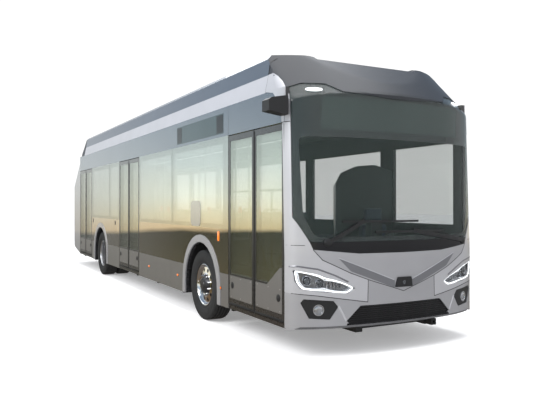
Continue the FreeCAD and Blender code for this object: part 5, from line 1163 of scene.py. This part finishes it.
# Tail: boxes are (left, right, foot, top)

TAIL, TAIL_CORNER = 6.05, 0.23
LAMP_FRAME, WINDOW_FRAME = (1.042, 1.188, 0.782, 1.498), (-0.965, 0.965, 1.555, 2.085)
TAIL_LAMP_X = 1.115
TAIL_LAMPS = [(0.87, 0.052, "lamp_clear"), (1.01, 0.052, "lamp_amber"), (1.17, 0.052, "lamp_red"),
              (1.35, 0.06, "lamp_red")]
TOP_LAMP, BRAKE_LAMP = [(1.02, 2.03), (1.13, 2.03)], [(-0.2, 2.108), (0.2, 2.108)]
LAMP_FRAME_WIDE, TOP_LAMP_WIDE, THIN_WIDE, TAIL_RISE, WINDOW_ROUND = 0.012, 0.035, 0.022, 0.004, 0.05
REFLECTOR_X, REFLECTOR_Y, REFLECTOR_Z = (0.86, 1.0), (TAIL - 0.002, TAIL + 0.005), (0.65, 0.695)
LOUVRES, LOUVRE_LOW, LOUVRE_PITCH, LOUVRE_HALF = 9, 0.985, 0.042, 0.72
LOUVRE = [(-0.002, 0.0), (0.0055, -0.006), (0.0055, 0.002), (-0.002, 0.026)]
# Half width, inner and outer face from the tail, foot, top and bevel
PLATE = (0.26, 0.0, 0.004, 0.775, 0.885, 0.003)
HOLDER = [(0.275, -0.001, 0.002, 0.765, 0.895, 0.003), (0.12, 0.0, 0.006, 0.9, 0.925, 0.006)]
LOCK, LOCK_X, LOCK_Z = [(-0.001, 0.022), (0.004, 0.02), (0.0055, 0.012), (0.0055, 0.0)], 0.8, 0.7


def tail(x, z, out=0.0):
    """A point of the tail's upright surface, moved outwards along its normal."""
    over = min(TAIL_CORNER, max(0.0, abs(x) - HALF + TAIL_CORNER))
    sine = over / TAIL_CORNER
    cosine = math.sqrt(1 - sine ** 2)
    point = Vector((x, TAIL - TAIL_CORNER * (1 - cosine), z))
    return point + Vector((math.copysign(sine, x), cosine, 0)) * out


def frame_path(x0, x1, z0, z1, radius=0.03):
    return rounded([(x0, z0), (x1, z0), (x1, z1), (x0, z1)], radius)


def tail_blocks(*rows):
    """Blocks on the tail's middle."""
    return blocks([((-half, TAIL + inner, low), (half, TAIL + outer, high), bevel)
                   for half, inner, outer, low, high, bevel in rows])


def tail_parts():
    """Lamp clusters, reflectors, the window's seal, and the lid's louvres, locks and blank plate."""
    for side, sign in SIDES.items():
        x0, x1, z0, z1 = LAMP_FRAME
        frame = frame_path(sign * x0, sign * x1, z0, z1)
        ribbon(f"tail_lamp_frame_{side}", frame, LAMP_FRAME_WIDE, "gloss_black", tail, STRIP_OUT, closed=True)
        for number, (z, radius, look) in enumerate(TAIL_LAMPS):
            edge = radius + 0.01
            bezel = [(-0.004, edge), (0.006, edge), (0.008, radius + 0.003), (0.004, radius)]
            lens = [(-0.002, radius), (0.006, radius * 0.92), (0.009, radius * 0.5), (0.01, 0.0)]
            disc(f"tail_bezel_{side}_{number}", tail, sign * TAIL_LAMP_X, z, 0.0, bezel, "chrome")
            disc(f"tail_lens_{side}_{number}", tail, sign * TAIL_LAMP_X, z, 0.0, lens, look, slot="lamp_red")
        # The reflector takes the red lamp finish, whose faint glow is painted light, since a reflector is no
        # lamp.
        reflector = Mould().span([sign * x for x in REFLECTOR_X], REFLECTOR_Y, REFLECTOR_Z)
        reflector.done(f"tail_reflector_{side}", "lamp_red")
        top = on_side(TOP_LAMP, sign)
        ribbon(f"tail_top_lamp_{side}", top, TOP_LAMP_WIDE, "lamp_red", tail, rise=TAIL_RISE)
    seal = frame_path(*WINDOW_FRAME, WINDOW_ROUND)
    ribbon("rear_window_seal", seal, THIN_WIDE, "seal_rubber", tail, rise=TAIL_RISE, closed=True,
           slot="dark_paint")
    ribbon("high_brake_lamp", BRAKE_LAMP, THIN_WIDE, "lamp_red", tail, rise=TAIL_RISE)
    louvres, locks = Mould(), Mould()
    for number in range(LOUVRES):
        z = LOUVRE_LOW + number * LOUVRE_PITCH
        louvres.loft([[(x, TAIL + out, z + up) for out, up in LOUVRE] for x in (LOUVRE_HALF, -LOUVRE_HALF)])
    for x in (-LOCK_X, LOCK_X):
        locks.turned([(TAIL + a, r) for a, r in LOCK], (x, 0, LOCK_Z), "Y", 20)
    louvres.done("lid_louvres", "black_plastic", "rear_lid")
    tail_blocks(PLATE).done("blank_plate", "plate_white", "rear_lid")
    tail_blocks(*HOLDER).done("plate_holder", "black_plastic", "rear_lid")
    locks.done("lid_locks", "zinc_bolt", "rear_lid")


# Roof, underside and camera pods: profiles of (along, radius)

POD_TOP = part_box("roof_pods")[1][2]
PODS, FAN_X, FAN_APART = ((-4.742, -2.444), (-1.906, 0.979), (1.566, 4.06)), 0.36, 0.55
FAN = [(-0.001, 0.235), (0.003, 0.225), (0.0035, 0.205), (0.001, 0.2), (0.001, 0.0)]
GUARD_RINGS, GUARD_OUT, GUARD_THICK = (0.06, 0.105, 0.15, 0.195), 0.004, 0.0022
GUARD_RADIUS, GUARD_BARS = 0.2, 6
VENT_X, VENT_IN, VENT_LOW, VENT_PITCH, VENTS = (0.797, 0.803), 0.25, 3.06, 0.035, 5
VENT_HIGH, VENT_BEVEL = 0.012, 0.002
# Half width, half length, half height, bevel and how far in from a pod's end
POD_SEAM_WIDE, POD_SEAM_LONG, POD_SEAM_HIGH, POD_SEAM_BEVEL, POD_SEAM_IN = 0.795, 0.006, 0.002, 0.001, 0.02
FAN_SIDES, GUARD_STEPS, GUARD_SIDES, TURNED_SIDES, LENS_SIDES, LINE_SIDES = 36, 32, 6, 28, 20, 8
HATCHES = [((-0.32, -2.3, 3.0), (0.32, -2.05, 3.035), 0.012), ((-0.32, 1.1, 3.0), (0.32, 1.45, 3.035), 0.012)]
SPRING_X, SPRINGS_Y = 0.34, {"front": (0.0,), "rear": (-0.42, 0.42)}
SPRING = [(0.185, 0.0), (0.185, 0.1), (0.195, 0.135), (0.213, 0.115), (0.231, 0.135), (0.249, 0.115),
          (0.267, 0.135), (0.285, 0.1), (0.285, 0.0)]
CHAMBER_SPOT = (0.54, 0.2, 0.215)
CHAMBER = [(0.0, 0.0), (0.0, 0.065), (0.03, 0.08), (0.05, 0.084), (0.06, 0.084), (0.12, 0.07), (0.15, 0.05),
           (0.155, 0.0)]
TANK_X, TANK_Z = 0.4, 0.245
TANK = [(-1.2, 0.0), (-1.195, 0.05), (-1.17, 0.085), (-1.13, 0.1), (-0.37, 0.1), (-0.33, 0.085),
        (-0.305, 0.05), (-0.3, 0.0)]
LINE_X, LINE_THICK = (-0.16, -0.13, 0.15), 0.008
LINE = [(0.0, -4.6, 0.275), (0.0, -1.5, 0.272), (0.01, 0.5, 0.275), (0.0, 3.6, 0.272)]
LENS = [(-0.004, 0.02), (0.004, 0.019), (0.005, 0.013), (0.002, 0.0)]
LENS_X, LENS_Y, LENS_Z = (1.4, 1.455), {"right": -5.63, "left": -5.15}, 2.6


def fan(fans, guards, x, y):
    """A cooling fan on a roof pod with its wire guard."""
    fans.turned([(POD_TOP + a, r) for a, r in FAN], (x, y, 0), "Z", FAN_SIDES)
    centre = Vector((x, y, POD_TOP + GUARD_OUT))
    for radius in GUARD_RINGS:
        ring = circle((x, y), radius, radius, GUARD_STEPS)
        guards.tube([(*p, centre.z) for p in ring + ring[:1]], GUARD_THICK, GUARD_SIDES)
    for u, v in circle((0, 0), GUARD_RADIUS, GUARD_RADIUS, 2 * GUARD_BARS)[:GUARD_BARS]:
        way = Vector((u, v, 0))
        guards.tube([centre - way, centre + way], GUARD_THICK, GUARD_SIDES)


def roof_parts():
    """Cooling fans, side vents and seams on the three roof pods, and the hatches between them."""
    fans, guards, seams = Mould(), Mould(), Mould()
    for start, end in PODS:
        middle = (start + end) / 2
        for x in (-FAN_X, FAN_X):
            for y in (middle - FAN_APART, middle + FAN_APART):
                fan(fans, guards, x, y)
        for y in (start + POD_SEAM_IN, middle, end - POD_SEAM_IN):
            seams.span((-POD_SEAM_WIDE, POD_SEAM_WIDE), (y - POD_SEAM_LONG, y + POD_SEAM_LONG),
                       (POD_TOP - POD_SEAM_HIGH, POD_TOP + POD_SEAM_HIGH), POD_SEAM_BEVEL)
        for sign in (1, -1):
            for number in range(VENTS):
                z = VENT_LOW + VENT_PITCH * number
                seams.span([sign * x for x in VENT_X], (start + VENT_IN, end - VENT_IN), (z, z + VENT_HIGH),
                           VENT_BEVEL)
    fans.done("fan_housings", "black_plastic")
    guards.done("fan_guards", "rail_steel", smooth=SOFT)
    seams.done("pod_seams", "seal_rubber", slot="slate_paint")
    blocks(HATCHES).done("roof_hatches", "slate_paint")


def underside_parts():
    """Air springs, brake chambers and reservoirs by the axles, brake lines, and the camera pods' lenses."""
    springs, chambers, tanks, lines, lenses = Mould(), Mould(), Mould(), Mould(), Mould()
    for side, sign in SIDES.items():
        for end, y in AXLE_Y.items():
            for off in SPRINGS_Y[end]:
                springs.turned(SPRING, (sign * SPRING_X, y + off, 0), "Z", TURNED_SIDES)
            x, back, z = CHAMBER_SPOT
            chambers.turned(CHAMBER, (sign * x, y + back, z), "Y", TURNED_SIDES)
        tanks.turned(TANK, (sign * TANK_X, 0, TANK_Z), "Y", TURNED_SIDES)
        for x in LENS_X:
            lenses.turned([(LENS_Y[side] + a, r) for a, r in LENS], (sign * x, 0, LENS_Z), "Y", LENS_SIDES)
    for x in LINE_X:
        lines.tube([(x + a, y, z) for a, y, z in LINE], LINE_THICK, LINE_SIDES)
    springs.done("air_springs", "seal_rubber", smooth=SOFT)
    chambers.done("brake_chambers", "cast_dark", smooth=40)
    tanks.done("air_tanks", "cast_dark")
    lines.done("brake_lines", "seal_rubber", smooth=SOFT)
    lenses.done("camera_lenses", "lamp_lens")


driver_place()
cabin_parts()
tail_parts()
roof_parts()
underside_parts()


# Floor, light and camera

GROUND, GROUND_GLOW = 60.0, 0.27
SKY_STRENGTH, SOFT_SKY = 1.08, (0.74, 0.75, 0.78, 1)
HILL_SIZE, HILL_HIGH = 9.0, 0.03
# What the sides mirror, from straight below to straight above: dark hills under a warm sky
WARM = [
    (0.0, (0.16, 0.14, 0.12)), (0.3, (0.17, 0.14, 0.11)), (0.4, (0.2, 0.13, 0.07)),
    (0.44, (0.1, 0.085, 0.03)), (0.484, (0.045, 0.045, 0.018)), (0.4855, (0.055, 0.05, 0.02)),
    (0.4865, (1.1, 0.86, 0.5)), (0.5, (1.25, 1.12, 0.78)), (0.515, (1.2, 1.22, 1.05)),
    (0.54, (0.95, 1.06, 1.06)), (0.6, (0.46, 0.56, 0.66)), (0.75, (0.26, 0.34, 0.45)),
    (1.0, (0.2, 0.27, 0.38)),
]
COOL = [
    (0.0, (0.22, 0.22, 0.22)), (0.42, (0.3, 0.3, 0.3)), (0.49, (0.36, 0.36, 0.37)),
    (0.53, (0.75, 0.76, 0.78)), (0.62, (0.85, 0.86, 0.88)), (0.8, (0.45, 0.47, 0.5)),
    (1.0, (0.35, 0.37, 0.4)),
]
SIDE_START, SIDE_FULL, AHEAD = 0.08, 0.35, (-0.05, 0.15)
CAMERA_SPOT, CAMERA_YAW, CAMERA_PITCH = (-4.3557, -11.141, 1.5877), math.radians(28.298), math.radians(0.247)
CAMERA_LENS_MM, CAMERA_SHIFT = 38.99, (0.0149, 0.0023)
# Each light: place, target, size
LIGHT_POWER = 1300.0
AREA_LIGHTS = {
    "key": ((-11.0, -7.5, 9.0), (0.0, -1.0, 1.5), (6.0, 6.0)),
    "top": ((0.0, 0.0, 9.0), (0.0, 0.0, 0.0), (9.0, 18.0)),
}


def staged(name, data):
    """A new object in the scene."""
    made = bpy.data.objects.new(name, data)
    bpy.context.scene.collection.objects.link(made)
    return made


def plain_floor():
    mesh = bpy.data.meshes.new("ground")
    corners = [(-GROUND, -GROUND, 0), (GROUND, -GROUND, 0), (GROUND, GROUND, 0), (-GROUND, GROUND, 0)]
    mesh.from_pydata(corners, [], [range(4)])
    pale = bpy.data.materials.new("pale_ground")
    pale.use_nodes = True
    fill(pale.node_tree.nodes["Principled BSDF"], {
        "Base Color": (0.95, 0.95, 0.95, 1), "Roughness": 0.9, "Specular IOR Level": 0.0,
        "Emission Color": (1, 1, 1, 1), "Emission Strength": GROUND_GLOW,
    })
    mesh.materials.append(pale)
    made = staged("ground", mesh)
    made.visible_glossy = False


def surroundings():
    """White to the camera; in what the bus's sides mirror, low dark hills under a pale sky."""
    world = bpy.data.worlds.new("studio")
    bpy.context.scene.world = world
    world.use_nodes = True
    tree = world.node_tree

    def math_node(operation, one, two, three=0.0):
        return node(tree, "Math", {0: one, 1: two, 2: three}, operation=operation)

    def ranged(source, low, high):
        return node(tree, "MapRange", {"Value": source, "From Min": low, "From Max": high})

    def mix(share, one, two):
        return node(tree, "Mix", {"Factor": share, "A": one, "B": two}, "Result", data_type="RGBA")

    where = node(tree, "TexCoord", {}, "Generated")
    x, y, z = (node(tree, "SeparateXYZ", {"Vector": where}, axis) for axis in "XYZ")
    wave = node(tree, "TexNoise", {"Vector": where, "Scale": HILL_SIZE})
    height = ranged(math_node("MULTIPLY_ADD", wave, HILL_HIGH, z), -1.0, 1.0)
    far_side = math_node("MULTIPLY", ranged(x, SIDE_START, SIDE_FULL), ranged(y, *AHEAD))
    turn = math_node("MAXIMUM", ranged(x, -SIDE_START, -SIDE_FULL), far_side)
    view = mix(turn, colour_ramp(tree, height, COOL), colour_ramp(tree, height, WARM))
    glossy, camera = (node(tree, "LightPath", {}, ray) for ray in ("Is Glossy Ray", "Is Camera Ray"))
    seen = mix(camera, mix(glossy, SOFT_SKY, view), (1, 1, 1, 1))
    fill(tree.nodes["Background"], {"Color": seen, "Strength": SKY_STRENGTH})


def area_light(name, place, target, size):
    data = bpy.data.lights.new(name, "AREA")
    data.shape = "RECTANGLE"
    data.size, data.size_y = size
    data.energy = LIGHT_POWER
    made = staged(name, data)
    made.location = place
    made.rotation_euler = (Vector(target) - Vector(place)).to_track_quat("-Z", "Y").to_euler()


def photo_camera():
    data = bpy.data.cameras.new("photo_camera")
    made = staged("photo_camera", data)
    made.location = CAMERA_SPOT
    made.rotation_euler = (math.pi / 2 + CAMERA_PITCH, 0.0, -CAMERA_YAW)
    data.sensor_width = 36.0
    data.lens = CAMERA_LENS_MM
    data.shift_x, data.shift_y = CAMERA_SHIFT
    data.clip_end = 500.0
    bpy.context.scene.camera = made


plain_floor()
surroundings()
for name, light in AREA_LIGHTS.items():
    area_light(name, *light)
photo_camera()
bpy.context.scene.view_settings.view_transform = "Standard"

bpy.context.view_layer.update()
